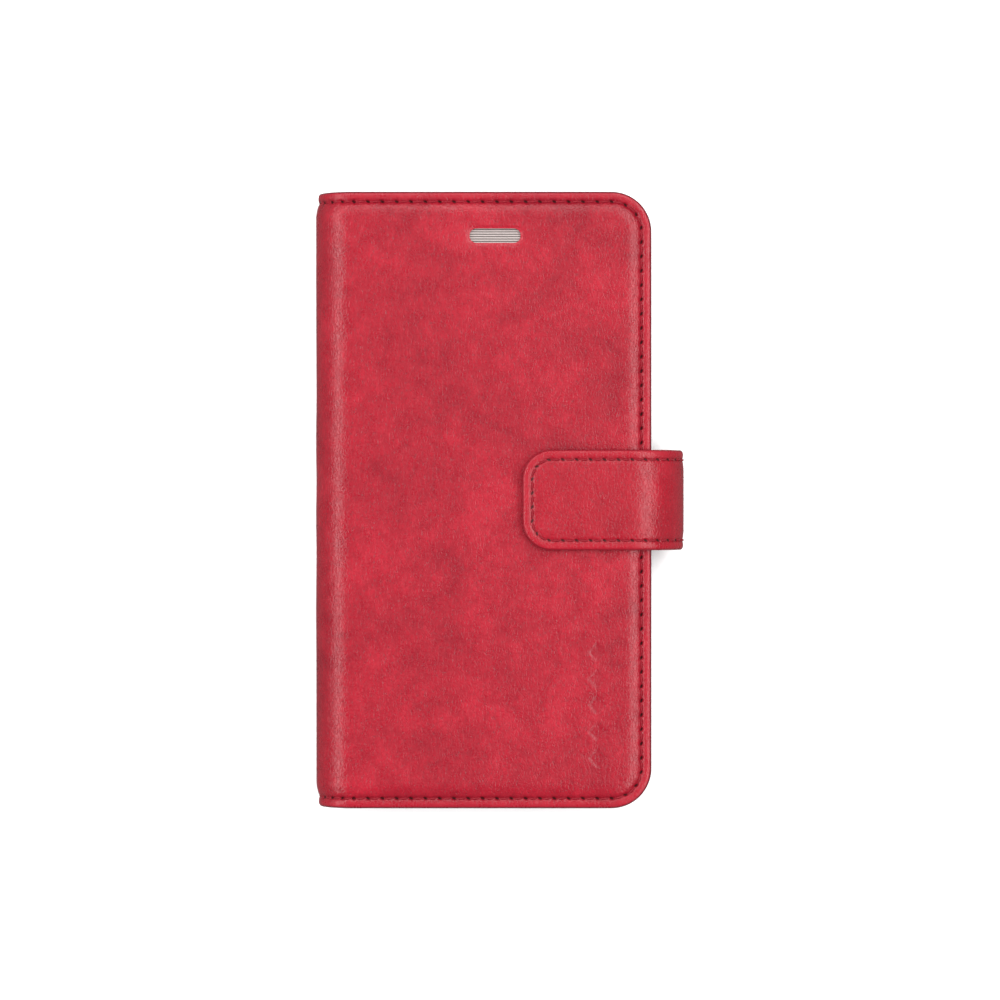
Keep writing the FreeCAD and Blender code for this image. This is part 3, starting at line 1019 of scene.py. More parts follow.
@dataclass(frozen=True)
class StitchRow:
    """A row of threads on a face: each dives into its hole at both ends and lies slightly askew.

    Attributes:
        path: the face that the row lies on.
        relief: the face's relief, whose groove the threads lie in.
        radius: the thread's radius.
        slant: how far each end lies to its side of the row.
        span: the share of the pitch that a thread covers.
        sink: how far its ends lie under the leather.
        rise: how far its middle lies over its ends.
        steps, around: the rings along a thread and the points round a ring.
    """

    path: SpinePath | StrapPath | InnerFace
    relief: Relief
    radius: float = 0.24 * MM
    slant: float = 0.1 * MM
    span: float = 0.8
    sink: float = 0.16 * MM
    rise: float = 0.34 * MM
    steps: int = 7
    around: int = 6

    def build(self, name: str, where: Callable[[Array], tuple], counts: Array, u_sign: float = 1.0,
              u_shift: float = 0.0) -> bpy.types.Object:
        """Makes the row's mesh.

        A thread's centre goes along the row, up by a sine arch over its length, and each ring is a circle of
        points whose radius falls towards the ends.

        Args:
            name: the piece's name.
            where: gives u, y and direction at stitch counts.
            counts: the whole counts at which threads start.
            u_sign: -1 where the plan runs the other way along the path.
            u_shift: added to u.

        Returns:
            The object.
        """
        t = np.linspace(0, 1, self.steps)
        count = counts[:, None] + 0.5 + (t - 0.5)[None, :] * self.span
        u, y, du, dy = where(count)
        aside = self.slant * (2 * t - 1)[None, :]
        arch = np.sin(math.pi * t)[None, :]
        size = self.radius * (0.45 + 0.55 * arch ** 0.6)
        inset = SIZES.stitch_inset / MM
        ground = self.relief.height(np.stack([count, 0 * count, 0 * count + inset], -1))
        turn = np.linspace(0, 2 * math.pi, self.around, endpoint=False)
        sideways = aside[..., None] + size[..., None] * np.cos(turn)
        up = (ground - self.sink + self.rise * arch)[..., None] + size[..., None] * np.sin(turn)
        uu = u[..., None] - dy[..., None] * sideways
        yy = y[..., None] + du[..., None] * sideways
        marks = np.stack([count[..., None] + 0 * up, turn / (2 * math.pi) + 0 * up, 0 * up], -1)
        maker = MeshMaker()
        points = on_path(self.path, u_sign * uu + u_shift, yy, up)
        threads = maker.add(points, np.stack([uu, yy, up], -1), marks)
        maker.faces(threads, wrap=True)
        maker.polygons += np.concatenate([threads[:, 0], threads[:, -1]]).tolist()
        return maker.build(name, sharp=70)


# ---------------------------------------------------------------- sub-assemblies

@dataclass(frozen=True)
class Opening:
    """A round-ended or round-cornered opening through a cover, in plan.

    Attributes:
        u, y: its middle.
        half_length: half its length along u.
        half_height: half its length along Y.
        corner: its corners' radius.
    """

    u: float
    y: float
    half_length: float
    half_height: float
    corner: float

    def toward(self, points: Array) -> Array:
        """The outline's point in the direction of each plan point, found by halving the ray from the middle.

        Args:
            points: rows of u and y outside the opening.

        Returns:
            Rows of u and y on the outline.
        """
        centre, halvings = np.array([self.u, self.y]), 40
        ray = points - centre
        inside, outside = np.zeros(len(ray)), np.ones(len(ray))
        for _ in range(halvings):
            middle = (inside + outside) / 2
            over = self.distance(*(centre + ray * middle[:, None]).T) > 0
            inside, outside = np.where(over, inside, middle), np.where(over, middle, outside)
        return centre + ray * inside[:, None]

    def distance(self, u: Array, y: Array) -> Array:
        """The distance outside the opening's outline."""
        qu = np.abs(u - self.u) - (self.half_length - self.corner)
        qy = np.abs(y - self.y) - (self.half_height - self.corner)
        outside = np.hypot(np.maximum(qu, 0), np.maximum(qy, 0))
        return outside - self.corner + np.minimum(np.maximum(qu, qy), 0)


@dataclass
class CoverSkin:
    """One cover's outer leather: rings from the free edge in to its opening, its rim wrapped over the board.

    Attributes:
        name: the piece's name.
        body: the body that it rides on.
        front: whether it is the front cover.
        opening: the hole through it.
        relief: its relief.
        wrap: how deep the leather goes down over the board's edge.
        counts: the points on a side, a corner, the free end and the spine's side.
        lip: how far the opening's edge is rounded.
        wrapped: how far in from its edge the wrapped part reaches, in millimetres.
        stamp_rings, ring_step: the fine rings under the pressed ornament, and how far apart they are.
        back_reach: how far in the back's parallel rings go before they reach its window.
    """

    name: str
    body: str
    front: bool
    opening: Opening
    relief: Relief
    wrap: float
    counts: tuple = (270, 36, 560, 170)
    lip: float = 0.5 * MM
    wrapped: float = 0.55
    stamp_rings: int = 27
    ring_step: float = 0.33 * MM
    back_reach: float = 5.0 * MM

    def height(self, u: Array, y: Array) -> Array:
        """The outer face's height: the stitched relief, and a pressed lip round the opening."""
        lip = self.opening.distance(u, y)
        rounded = -0.5 * self.lip * (1 - ease(lip / (1.6 * self.lip)))
        halo = -0.1 * MM * np.exp(-(lip / (1.3 * MM)) ** 2)
        stamp = Ornament().press(u, y) if self.front else 0.0
        return self.relief.height(marks_at(COVER_PLAN, u, y)) + rounded + halo - stamp

    def toward_spine(self, ring: Array, steps: Array) -> list[Array]:
        """Smaller copies of a ring: its free side moves in by each step, its other sides by a small share."""
        corner, size = ring.min(axis=0), np.ptp(ring, axis=0)
        share = 0.08
        return [corner + share * step + (ring - corner) * (1 - np.array([1 + share, 2 * share]) * step / size)
                for step in steps]

    def build(self) -> bpy.types.Object:
        """Makes the mesh: insets of the outline, then rings that change into the opening's outline."""
        insets = EDGE_ROWS if self.front else EDGE_ROWS[EDGE_ROWS < self.back_reach]
        near = [COVER_PLAN.ring(inset, 0.35 * inset, self.counts) for inset in insets]
        if self.front:
            near += self.toward_spine(near[-1], np.arange(1, self.stamp_rings + 1) * self.ring_step)
        hole = self.opening.toward(near[-1])
        share = np.concatenate([np.linspace(0, 0.95, 10)[1:], [0.97, 0.985, 0.993, 1.0]])
        plan = np.stack(near + [near[-1] * (1 - g) + hole * g for g in share])
        u, y = plan[..., 0], plan[..., 1]
        top, seam = self.height(u, y), marks_at(COVER_PLAN, u, y)
        under = np.where(seam[..., 2] < self.wrapped, -self.wrap, np.minimum(top, 0) - SIZES.leather)
        at_spine = slice(-self.counts[3], None)
        under[:, at_spine] = top[:, at_spine] - SIZES.leather
        along = u if self.front else -u - math.pi * SIZES.radius
        rows = len(plan)
        few = np.array([0, 4, 5, 13, rows - 1 - len(share), rows - 9, rows - 5, rows - 1])
        hide, hide_under = (np.stack([along, y, n], -1) for n in (top, under))
        obj = slab(self.name, on_path(SPINE, along, y, top), on_path(SPINE, along, y, under), hide, seam,
                   ring=True, under_rows=few, hide_under=hide_under)
        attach(obj, self.body)
        return obj


@dataclass
class FrontCover:
    """The front cover: skin over its padding, ribbed fabric behind its slot, stitches, lining and pockets.

    Attributes:
        finishes: the materials.
        slot_half, slot_height, slot_corner: half the slot's length and height, and its corners' radius.
        board_gap: how far the wrapped leather ends above the board's lower face.
        rib, rib_height: the distance between the fabric's ribs and how high they stand.
        card_corner: a card pocket's corner radius.
        cash_trim: how much smaller the cash pocket's corner radius is than the cover's.
        pockets: the pockets' nodes, from the board outwards.
    """

    finishes: Finishes
    slot_half: float = 6.0 * MM
    slot_height: float = 1.7 * MM
    slot_corner: float = 1.6 * MM
    board_gap: float = 0.12 * MM
    rib: float = 0.56 * MM
    rib_height: float = 0.16 * MM
    card_corner: float = 3.0 * MM
    cash_trim: float = 1.2 * MM
    pockets: tuple = ("cash_pocket", "card_pocket_1", "card_pocket_2", "card_pocket_3")

    def opening(self) -> Opening:
        """The earpiece slot, from the fabric behind it."""
        lo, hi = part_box("shield_fabric")
        return Opening((lo[0] + hi[0]) / 2 - SIZES.spine_x, (lo[1] + hi[1]) / 2, self.slot_half,
                       self.slot_height, self.slot_corner)

    def skin(self) -> None:
        """The outer leather."""
        wrap = SIZES.top - SIZES.front_board_low - self.board_gap
        obj = CoverSkin("front_skin", "front_cover", True, self.opening(), COVER_RELIEF, wrap).build()
        finished(obj, self.finishes.cover, nodes=("front_leather", "front_padding"))

    def fabric(self) -> None:
        """The ribbed fabric: a grid whose height is the size of a sine across the ribs."""
        lo, hi = (np.array(corner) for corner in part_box("shield_fabric"))
        xx, yy = np.meshgrid(np.linspace(lo[0], hi[0], 60), np.linspace(hi[1], lo[1], 300))
        rib = np.abs(np.sin((yy - lo[1]) * math.pi / self.rib)) ** 0.6
        top = np.stack([xx, yy, hi[2] + self.rib_height * (rib - 1)], -1)
        bottom = np.stack([xx, yy, lo[2] + 0 * xx], -1)
        hide = np.stack([xx, yy - lo[1] - self.rib / 4, 0 * xx], -1)
        obj = slab("shield_mesh", top, bottom, hide, sharp=180)
        finished(obj, self.finishes.shield, "front_cover", ("shield_fabric",))

    def stitches(self) -> None:
        """The threads along the three free edges."""
        row = StitchRow(SPINE, COVER_RELIEF)
        obj = row.build("front_threads", COVER_PLAN.row_point, np.arange(COVER_PLAN.stitches))
        finished(obj, self.finishes.thread, "front_cover", ("front_stitching",))

    def build(self) -> None:
        """Builds and dresses every piece of the cover."""
        self.skin()
        self.fabric()
        self.stitches()
        self.linings()

    def linings(self) -> None:
        """The lining and the stepped pockets on the cover's inside."""
        top_z = SIZES.front_board_low
        lining = InnerSheet("front_inner", "front_cover", 0.0, SIZES.width - SIZES.lining_inset,
                            SIZES.half - SIZES.lining_inset, SIZES.corner, SIZES.front_lining_low, top_z,
                            facing_up=False, rise=SIZES.top - SIZES.leather - top_z, opening=self.opening())
        obj = finished(lining.build(), self.finishes.lining, nodes=("front_lining",))
        lining.declare()
        for node in self.pockets:
            lo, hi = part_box(node)
            corner = self.card_corner if "card" in node else SIZES.corner - self.cash_trim
            pocket = InnerSheet(node + "_leaf", "front_cover", lo[0] - SIZES.spine_x, hi[0] - SIZES.spine_x,
                                hi[1], corner, lo[2], hi[2], facing_up=False, mouth=True)
            leaf = finished(pocket.build(), self.finishes.lining, nodes=(node,))
            pocket.declare()
            self.inner_threads(node + "_threads", pocket)
        self.inner_threads("front_inner_threads", lining)

    def inner_threads(self, name: str, sheet: "InnerSheet") -> None:
        """The threads round an inner sheet, where no sheet over it hides them, and along a pocket's mouth.

        Args:
            name: the piece's name.
            sheet: the sheet that they are sewn through.
        """
        plan = sheet.plan()
        flat = Relief(drop=0.0, groove=0.0, pucker=0.0, hole=0.0)
        row = StitchRow(InnerFace(sheet.low_z), flat, radius=0.17 * MM)
        mouth_count = int(2 * (sheet.half - plan.inset) / SIZES.mouth_pitch)

        def where(count: Array) -> tuple[Array, Array, Array, Array]:
            """The row round the sheet, and after its last stitch the straight row along the mouth."""
            u, y, du, dy = plan.row_point(np.minimum(count, plan.stitches))
            past = count > plan.stitches + 0.05
            along = (count - plan.stitches - 1 - mouth_count / 2) * SIZES.mouth_pitch
            return (np.where(past, sheet.start + sheet.mouth_inset, u), np.where(past, along, y),
                    np.where(past, 0.0, du), np.where(past, 1.0, dy))

        counts = np.arange(plan.stitches)
        u, y, _, _ = plan.row_point(counts + 0.5)
        hidden = u < sheet.start + 1.0 * MM
        margin = 0.6 * MM
        for node in self.pockets:
            lo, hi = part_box(node)
            if lo[2] < sheet.low_z - 0.1 * MM:
                hidden |= (u + SIZES.spine_x > lo[0] - margin) & (np.abs(y) < hi[1] + margin)
        counts = counts[~hidden]
        if sheet.mouth:
            counts = np.concatenate([counts, np.arange(mouth_count) + plan.stitches + 1])
        finished(row.build(name, where, counts), self.finishes.thread, "front_cover")


@dataclass
class InnerSheet:
    """A flat sheet inside a cover: round free corners, a soft edge and a rise to the roll at the spine.

    Attributes:
        name: the piece's name.
        body: its body.
        start, reach: its u at the spine side and at the free side.
        half: half its length.
        corner: the radius of its free corners.
        low_z, high_z: its two faces' heights.
        facing_up: whether its shown face is the upper one.
        rise: how far it climbs (or falls) at the spine to meet the spine's lining.
        opening: a hole through it.
        mouth: whether its spine side is a pocket's folded mouth with a stitched line.
        counts: the points on a side, a corner, the free end and the spine's side.
        mouth_inset: how far the stitched line is from the mouth.
    """

    name: str
    body: str
    start: float
    reach: float
    half: float
    corner: float
    low_z: float
    high_z: float
    facing_up: bool
    rise: float = 0.0
    opening: Optional[Opening] = None
    mouth: bool = False
    counts: tuple = (60, 14, 120, 60)
    mouth_inset: float = 1.4 * MM

    def plan(self) -> UShape:
        """The sheet's plan."""
        return UShape(self.reach, self.half, self.corner, SIZES.stitch_inset, SIZES.pitch)

    def build(self) -> bpy.types.Object:
        """Makes the sheet: rings from its outline in to its hole or to a small closed middle."""
        plan = self.plan()
        insets = np.array([0, 0.05, 0.15, 0.35, 0.7, 1.2, 1.9, 2.35, 2.8, 3.6, 4.5]) * MM
        near = [plan.ring(i, self.start + 0.45 * i, self.counts) for i in insets]
        hole = self.opening or Opening((self.start + self.reach) / 2, 0.0, 1.0 * MM, 1.0 * MM, 0.9 * MM)
        last = near[-1]
        inner_ring = hole.toward(last)
        share = np.concatenate([np.linspace(0, 1, 14)[1:-1], [0.97, 1.0]])
        grid = np.stack(near + [last * (1 - g) + inner_ring * g for g in share])
        u, y = grid[..., 0], grid[..., 1]
        edge = np.minimum(plan.edge_distance(u, y), np.maximum(u - self.start, 0) if self.mouth else 1.0)
        round_r = (self.high_z - self.low_z) * 0.5
        inside = np.clip(1 - np.maximum(edge, 0) / round_r, 0, 1)
        soft = round_r * (1 - np.sqrt(1 - inside ** 2))
        seam = marks_at(plan, u, y)
        soft = soft + 0.12 * MM * np.exp(-(seam[..., 1] * MM / (0.5 * MM)) ** 2)
        if self.mouth:
            from_mouth = u - self.start
            soft = soft + 0.1 * MM * np.exp(-((from_mouth - self.mouth_inset) / (0.3 * MM)) ** 2)
            near_mouth = np.abs(from_mouth - self.mouth_inset) < np.abs(plan.edge_distance(u, y) - plan.inset)
            seam[..., 0] = np.where(near_mouth, y / SIZES.mouth_pitch, seam[..., 0])
            seam[..., 1] = np.where(near_mouth, (from_mouth - self.mouth_inset) / MM, seam[..., 1])
        lift = self.rise * (1 - ease((u - 0.05 * MM) / (0.6 * MM)))
        shown = (self.high_z - soft if self.facing_up else self.low_z + soft) + lift
        hidden = (self.low_z if self.facing_up else self.high_z) + lift + 0 * u
        face, back = (np.stack([SIZES.spine_x + u, y, z], -1) for z in (shown, hidden))
        hide = np.stack([u + (0.2 if self.facing_up else 0.0), y, 0 * u], -1)
        obj = slab(self.name, face, back, hide, seam, ring=True, cap=self.opening is None)
        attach(obj, self.body)
        return obj

    def declare(self) -> None:
        """Works out the flat sheet's area, a rectangle less two round corners and its hole; nothing uses it.
        """
        plan = self.plan()
        width, length = plan.reach - self.start, 2 * plan.half
        area = width * length - (2 - math.pi / 2) * plan.corner ** 2
        if self.opening is not None:
            hole = self.opening
            area -= 4 * hole.half_length * hole.half_height - (4 - math.pi) * hole.corner ** 2


@dataclass
class Spine:
    """The rounded spine: leather, lining and end threads, in four parts split at the hinges' angles.

    Attributes:
        finishes: the materials.
        chain: the bodies at the ends of its parts, which set their number and labels.
        rows, middle: a part's rows, and the columns in its middle.
        hide_from: where the lining's and the leather's places on the flat leather start, in metres.
    """

    finishes: Finishes
    chain: tuple = ("back_cover", "spine_1", "spine_2", "spine_3", "front_cover")
    rows: int = 22
    middle: int = 40
    hide_from: tuple = (0.3, 0.0)

    def layer(self, name: str, start: float, end: float, depth: float, thickness: float,
              relief: bool) -> bpy.types.Object:
        """One part of one layer, between two turning angles.

        Args:
            name: the piece's name.
            start, end: its turning angles, from the back cover.
            depth: how far its outer face is under the leather's.
            thickness: its thickness.
            relief: whether its ends have the stitched relief.

        Returns:
            The object.
        """
        u = np.linspace(SPINE.at_turn(start), SPINE.at_turn(end), self.rows)
        y = across(SIZES.half, self.middle)
        uu, yy = np.meshgrid(u, y, indexing="ij")
        edge = SIZES.half - np.abs(yy)
        count = uu / (math.pi * SIZES.radius) * self.end_stitches()
        seam = np.stack([count, (edge - SIZES.stitch_inset) / MM, edge / MM], -1)
        swap = uu / (-math.pi * SIZES.radius)
        front, back = COVER_RELIEF.height(seam), BACK_RELIEF.height(seam)
        height = front * (1 - ease(swap)) + back * ease(swap)
        wave = np.sin(yy / (5.3 * MM) + 3 * np.sin(yy / (17 * MM)))
        crease = -0.05 * MM * np.exp(-((swap - 0.5) / 0.4) ** 2) * wave
        height = (height + crease) if relief else np.minimum(height * 0.8, 0)
        top = on_path(SPINE, uu, yy, height - depth)
        bottom = on_path(SPINE, uu, yy, np.minimum(height, 0) * (0.9 if relief else 1) - depth - thickness)
        hide = np.stack([uu + self.hide_from[relief], yy, height], -1)
        return slab(name, top, bottom, hide, seam, hide_under=hide - np.array([0.0, 0.0, thickness]))

    def end_stitches(self) -> int:
        """The number of stitches round an end of the spine."""
        return round(math.pi * SIZES.radius / SIZES.pitch)

    def where(self, side: int) -> Callable[[Array], tuple]:
        """The row round one end of the spine, as u, y and direction at stitch counts."""
        def row(count: Array) -> tuple[Array, Array, Array, Array]:
            """Straight along u at a fixed distance from the end."""
            u = (count / self.end_stitches() - 1) * math.pi * SIZES.radius
            return u, 0 * u + side * (SIZES.half - SIZES.stitch_inset), 0 * u + 1.0, 0 * u
        return row

    def build(self) -> None:
        """Builds every part of the spine."""
        row = StitchRow(SPINE, COVER_RELIEF)
        turn = 180.0 / self.end_stitches()
        for label, first, second, start, end in bends(self.chain):
            skin = self.layer("spine_skin_" + label, start, end, 0.0, SIZES.leather, True)
            inner = self.layer("spine_inner_" + label, start, end, SIZES.leather, SIZES.lining, False)
            counts = np.arange(math.ceil(start / turn - 0.5), math.ceil(end / turn - 0.5))
            threads = [row.build("spine_threads_" + place + "_" + label, self.where(side), counts)
                       for side, place in ((1, "top"), (-1, "bottom"))]
            for obj in (skin, inner, *threads):
                bend_between(obj, SPINE, first, second, start, end)
            leather, lining = node_pair("spine", label, second != self.chain[-1])
            finished(skin, self.finishes.back, nodes=leather)
            finished(inner, self.finishes.lining, nodes=lining)
            for obj in threads:
                finished(obj, self.finishes.thread)


@dataclass
class BackCover:
    """The back cover: skin with the camera window, lining and stitches.

    Attributes:
        finishes: the materials.
        window: half the camera window's length and height, and its corners' radius.
        board_gap: how far the wrapped leather ends below the board's upper face.
    """

    finishes: Finishes
    window: tuple = (11.5 * MM, 5.5 * MM, 4.0 * MM)
    board_gap: float = 0.05 * MM

    def opening(self) -> Opening:
        """The camera window, from the record's stated opening."""
        boxes = frame["record"]["physics"]["openings"]
        lo, hi = next(o["box_m"] for o in boxes if o["name"] == "camera_window")
        return Opening((lo[0] + hi[0]) / 2 - SIZES.spine_x, (lo[1] + hi[1]) / 2, *self.window)

    def build(self) -> None:
        """Builds and dresses every piece of the cover."""
        wrap = SIZES.back_lining_low - self.board_gap
        skin = CoverSkin("back_skin", "back_cover", False, self.opening(), BACK_RELIEF, wrap).build()
        finished(skin, self.finishes.back, nodes=("back_leather",))
        row = StitchRow(SPINE, BACK_RELIEF, radius=0.16 * MM)
        shift = -math.pi * SIZES.radius
        threads = row.build("back_threads", COVER_PLAN.row_point, np.arange(COVER_PLAN.stitches), -1.0, shift)
        finished(threads, self.finishes.thread, "back_cover", ("back_stitching",))
        lining = InnerSheet("back_inner", "back_cover", 0.0, SIZES.width - SIZES.lining_inset,
                            SIZES.half - SIZES.lining_inset, SIZES.corner, SIZES.back_lining_low,
                            SIZES.back_lining_top, facing_up=True, rise=SIZES.leather - SIZES.back_lining_low,
                            opening=self.opening())
        obj = finished(lining.build(), self.finishes.lining, nodes=("back_lining",))
        lining.declare()


@dataclass
class Strap:
    """The closing strap: four bending parts round the free edge, and the tab with its stitched rim.

    Attributes:
        finishes: the materials.
        chain: the bodies at the ends of its parts, which set their number and labels.
        leather, lining, core: the layers' thicknesses.
        root: how far it goes in under the back cover's leather.
        corner, inset, pitch: the tab's corner radius, and its stitches' place and pitch.
        rows, middle: a part's rows, and the columns in its middle.
        hide_from: where the lining's and the leather's places on the flat leather start, in metres.
    """

    finishes: Finishes
    chain: tuple = ("back_cover", "strap_1", "strap_2", "strap_3", "strap_tab")
    leather: float = 0.8 * MM
    lining: float = 0.7 * MM
    core: float = 1.0 * MM
    root: float = 6.0 * MM
    corner: float = 6.9 * MM
    inset: float = 2.3 * MM
    pitch: float = 3.3 * MM
    rows: int = 24
    middle: int = 14
    hide_from: tuple = (0.8, 0.5)

    @property
    def half(self) -> float:
        """Half the strap's width."""
        return high("strap_tab_leather", 1)

    def plan(self) -> UShape:
        """The strap's plan from the tab's start to its tip."""
        upper_x = SIZES.right - STRAP.upper_radius
        reach = upper_x - low("strap_tab_leather", 0)
        return UShape(reach, self.half, self.corner, self.inset, self.pitch)

    def columns(self) -> Array:
        """Columns across the strap, fine at its edges."""
        return across(self.half, self.middle)

    def seam(self, u: Array, y: Array) -> Array:
        """Seam marks on the strap: stitch counts go on past the tab along the two long sides."""
        plan = self.plan()
        per = plan.stitches / plan.row_length
        edge = np.where(u > 0, plan.edge_distance(u, y), self.half - np.abs(y))
        along = np.where(y > 0, u * per, plan.stitches - u * per)
        count = np.where(u > 0, plan.row_count(np.maximum(u, 0), y), along)
        return np.stack([count, (edge - plan.inset) / MM, edge / MM], -1)

    def part(self, name: str, u: Array, depth: float, thickness: float, outer: bool) -> bpy.types.Object:
        """One part of one layer of the strap's side.

        Args:
            name: the piece's name.
            u: arc lengths of its rows.
            depth: how far its outer face is under the leather's.
            thickness: its thickness.
            outer: whether it is the leather.

        Returns:
            The object.
        """
        uu, yy = np.meshgrid(u, self.columns(), indexing="ij")
        seam = self.seam(uu, yy)
        height = TAB_RELIEF.height(seam)
        top = on_path(STRAP, uu, yy, (height if outer else 0 * height) - depth)
        bottom = on_path(STRAP, uu, yy, 0 * height - depth - thickness)
        hide = np.stack([uu + self.hide_from[outer], yy, height], -1)
        return slab(name, top, bottom, hide, seam, hide_under=hide - np.array([0.0, 0.0, thickness]))

    def tab(self, name: str, outer: bool) -> bpy.types.Object:
        """The tab's leather or lining: rows whose half-width follows the rounded corners near the tip.

        At arc length u the half-width is the full one, less the corner's circle where u is past its centre.
        """
        plan = self.plan()
        reach = plan.reach
        rows = np.concatenate([np.linspace(0, reach - EDGE_ROWS[-1], 60)[:-1], reach - EDGE_ROWS[::-1]])
        past = np.maximum(rows - (reach - plan.corner), 0)
        width = plan.half - plan.corner + np.sqrt(np.maximum(plan.corner ** 2 - past ** 2, 0))
        across_share = self.columns() / self.half
        uu = rows[:, None] + 0 * across_share[None, :]
        yy = width[:, None] * across_share[None, :]
        seam = self.seam(uu, yy)
        height = TAB_RELIEF.height(seam)
        step = ease(uu / (1.5 * MM))
        if outer:
            top = height
            bottom = -self.leather - self.core * step
        else:
            top = -self.leather - self.core * step
            soft = 0.3 * MM * (1 - ease(seam[..., 2] / 0.6))
            bottom = top - self.lining + soft
        face, back = on_path(STRAP, uu, yy, top), on_path(STRAP, uu, yy, bottom)
        hide = np.stack([uu + self.hide_from[outer], yy, top], -1)
        below = np.stack([uu + self.hide_from[outer], yy, bottom], -1)
        return slab(name, face, back, hide, seam, hide_under=below)

    def side_row(self, side: int) -> Callable[[Array], tuple]:
        """The row along one long side of the bend, at counts from the tab's start back to the root."""
        plan = self.plan()

        def row(count: Array) -> tuple[Array, Array, Array, Array]:
            """Straight along u; the count falls towards the root."""
            u = count * plan.row_length / plan.stitches
            return u, 0 * u + side * (self.half - plan.inset), 0 * u + 1.0, 0 * u
        return row

    def threads(self) -> None:
        """The threads round the tab, and along the bend in parts split at its hinges' angles."""
        plan = self.plan()
        row = StitchRow(STRAP, TAB_RELIEF)
        tab = row.build("tab_threads", plan.row_point, np.arange(plan.stitches))
        finished(tab, self.finishes.thread, "strap_tab", ("strap_tab_stitching",))
        per = plan.stitches / plan.row_length
        for number, first, second, start, end in bends(self.chain):
            low_count, high_count = (math.ceil(STRAP.at_turn(angle) * per - 0.5) for angle in (start, end))
            for side, label in ((1, "top"), (-1, "bottom")):
                obj = row.build("strap_threads_" + label + "_" + number, self.side_row(side),
                                np.arange(low_count, high_count))
                bend_between(obj, STRAP, first, second, start, end)
                finished(obj, self.finishes.thread)

    def build(self) -> None:
        """Builds and dresses every piece of the strap."""
        strap, lining = self.finishes.strap, self.finishes.lining
        for label, first, second, start, end in bends(self.chain):
            u = np.linspace(STRAP.at_turn(start), STRAP.at_turn(end), self.rows)
            skin = self.part("strap_skin_" + label, u, 0.0, self.leather, True)
            inner = self.part("strap_inner_" + label, u, self.leather, self.lining, False)
            for obj in (skin, inner):
                bend_between(obj, STRAP, first, second, start, end)
            skin_nodes, inner_nodes = node_pair("strap", label, second != self.chain[-1])
            finished(skin, strap, nodes=skin_nodes)
            finished(inner, lining, nodes=inner_nodes)
        root_end = STRAP.at_turn(0)
        tail = self.part("strap_tail", np.linspace(root_end - self.root, root_end, self.rows // 2), 0.0,
                         self.leather + self.lining, True)
        finished(tail, strap, "back_cover", ("strap_root",))
        finished(self.tab("tab_skin", True), strap, "strap_tab", ("strap_tab_leather",))
        finished(self.tab("tab_inner", False), lining, "strap_tab", ("strap_tab_lining",))
        self.threads()


@dataclass
class PlainPieces:
    """The phone tray with rounded edges, and the frame's nodes that stay as they are, with finer finishes.

    Attributes:
        finishes: the materials.
        tray_round: the radius of the tray's moulded edges.
        bevel_angle: the angle past which one of its edges is rounded, in degrees.
    """

    finishes: Finishes
    tray_round: float = 0.35 * MM
    bevel_angle: float = 40.0

    def tray(self) -> None:
        """The phone tray with its moulded edges rounded: the node's merged copy and a bevel."""
        mesh = bpy.data.meshes.new("tray_shell")
        form = bmesh.new()
        form.from_mesh(frame["nodes"]["phone_tray"].data)
        bmesh.ops.remove_doubles(form, verts=form.verts, dist=0.001 * MM)
        bmesh.ops.dissolve_limit(form, angle_limit=math.radians(0.5), verts=form.verts, edges=form.edges)
        bmesh.ops.recalc_face_normals(form, faces=form.faces)
        form.to_mesh(mesh)
        form.free()
        mesh.shade_smooth()
        shell = bpy.data.objects.new("tray_shell", mesh)
        bpy.context.scene.collection.objects.link(shell)
        bevel = shell.modifiers.new("moulded_edges", "BEVEL")
        bevel.width = self.tray_round
        bevel.segments = 3
        bevel.limit_method = "ANGLE"
        bevel.angle_limit = math.radians(self.bevel_angle)
        bevel.harden_normals = True
        mesh.set_sharp_from_angle(angle=math.radians(50))
        finished(shell, self.finishes.plain[Surface.TRAY], "back_cover", ("phone_tray",))

    def build(self) -> None:
        """Gives each node its finish."""
        self.tray()
        chosen = {
            "back_board": Surface.BOARD,
            "front_board": Surface.BOARD,
            "strap_tab_core": Surface.BOARD,
            "shell_adhesive_pad": Surface.ADHESIVE,
            "closure_plate": Surface.STEEL,
            "strap_magnets": Surface.NICKEL,
        }
        for node, surface in chosen.items():
            obj = frame["nodes"][node]
            obj.data.materials.clear()
            obj.data.materials.append(self.finishes.plain[surface])
            LOG.info("%s: %d faces", node, len(obj.data.polygons))


# ---------------------------------------------------------------- studio

@dataclass(frozen=True)
class SoftBox:
    """A rectangular soft light that points at the case.

    Attributes:
        name: its name.
        place: its middle, in metres.
        size: its sides, in metres.
        power: its power in watts.
        glossy: whether it shows in reflections.
    """

    name: str
    place: tuple
    size: tuple
    power: float
    glossy: bool = True

    def build(self) -> None:
        """Makes the light; it is turned by its polar and azimuth angles."""
        data = bpy.data.lights.new(self.name, "AREA")
        data.shape = "RECTANGLE"
        data.size, data.size_y = self.size
        data.energy = self.power
        obj = bpy.data.objects.new(self.name, data)
        obj.location = self.place
        x, y, z = self.place
        obj.rotation_euler = (math.acos(z / math.hypot(x, y, z)), 0.0, math.atan2(y, x) + math.pi / 2)
        obj.visible_glossy = self.glossy
        bpy.context.scene.collection.objects.link(obj)


SOFT_BOXES = (
    SoftBox("left_box", (-0.66, 0.02, 0.57), (1.3, 0.3), 6.0),
    SoftBox("right_box", (0.54, 0.02, 0.76), (1.3, 0.4), 7.4),
    SoftBox("top_box", (0.0, 0.62, 0.6), (1.0, 0.26), 2.8),
    SoftBox("overhead", (0.0, 0.1, 1.5), (1.0, 1.0), 24.5, glossy=False),
)


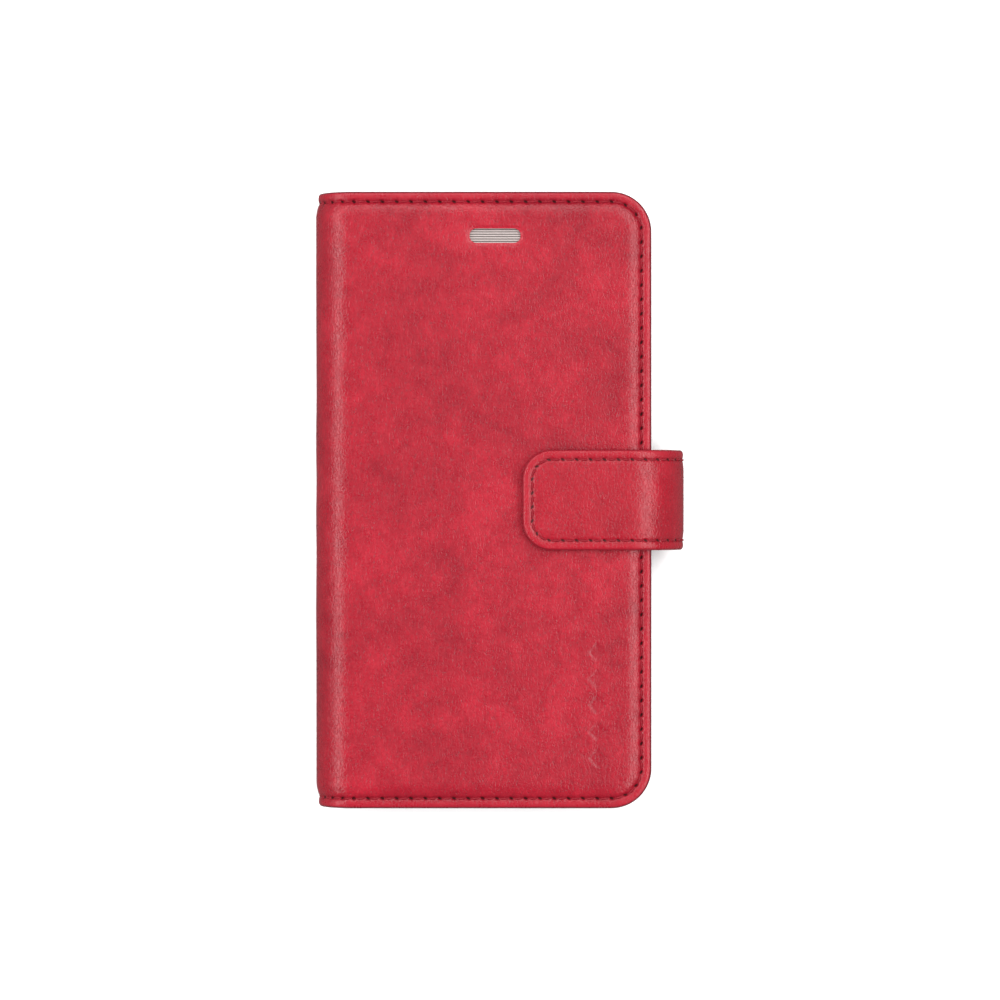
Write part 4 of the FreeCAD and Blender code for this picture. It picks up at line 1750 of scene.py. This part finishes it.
@dataclass(frozen=True)
class Studio:
    """The camera straight above the closed case, a pale floor, soft lights and a white sky.

    Attributes:
        distance: the camera's height above the case.
        lens, sensor: its focal length and sensor width, in millimetres.
        floor_size: the floor's side.
        floor_gap: how far the floor lies under the case.
        sky: the sky's strength.
    """

    distance: float = 0.84
    lens: float = 128.8
    sensor: float = 36.0
    floor_size: float = 6.0
    floor_gap: float = 0.03 * MM
    sky: float = 0.22

    def camera(self) -> None:
        """A camera that looks straight down with the case's length upright."""
        data = bpy.data.cameras.new("camera")
        data.lens = self.lens
        data.sensor_width = self.sensor
        data.clip_start = 0.01
        obj = bpy.data.objects.new("camera", data)
        obj.location = (0.0, 0.0, SIZES.top + self.distance)
        bpy.context.scene.collection.objects.link(obj)
        bpy.context.scene.camera = obj

    def floor(self) -> None:
        """A square of pale paper with a faint tone in it."""
        size = self.floor_size / 2
        mesh = bpy.data.meshes.new("floor")
        corners = [(x * size, y * size, -self.floor_gap) for x, y in ((-1, -1), (1, -1), (1, 1), (-1, 1))]
        mesh.from_pydata(corners, [], [(0, 1, 2, 3)])
        floor = bpy.data.objects.new("floor", mesh)
        bpy.context.scene.collection.objects.link(floor)
        shader = Shader("floor_paper")
        tone = shader.noise(shader.node("ShaderNodeTexCoord", output="Object"), 30.0, 2.0)
        colour = shader.mix(tone, screen(238, 238, 238), screen(241, 241, 241))
        mesh.materials.append(shader.finish(Base_Color=colour, Roughness=0.9, Specular_IOR_Level=0.0))
        floor.visible_glossy = False

    def build(self) -> None:
        """Sets the floor, the lights and the sky."""
        self.floor()
        for light in SOFT_BOXES:
            light.build()
        world = bpy.data.worlds.new("sky")
        world.use_nodes = True
        background = world.node_tree.nodes["Background"]
        background.inputs[0].default_value = (1.0, 1.0, 1.0, 1.0)
        background.inputs[1].default_value = self.sky
        bpy.context.scene.world = world
        bpy.context.scene.view_settings.view_transform = "Standard"


def main() -> None:
    """Builds the studio and the case in order."""
    logging.basicConfig(level=logging.INFO, format="%(name)s %(message)s")
    studio = Studio()
    studio.camera()
    finishes = Finishes()
    for assembly in (PlainPieces(finishes), BackCover(finishes), Spine(finishes), FrontCover(finishes),
                     Strap(finishes)):
        assembly.build()
    studio.build()


if __name__ == "__main__":
    main()
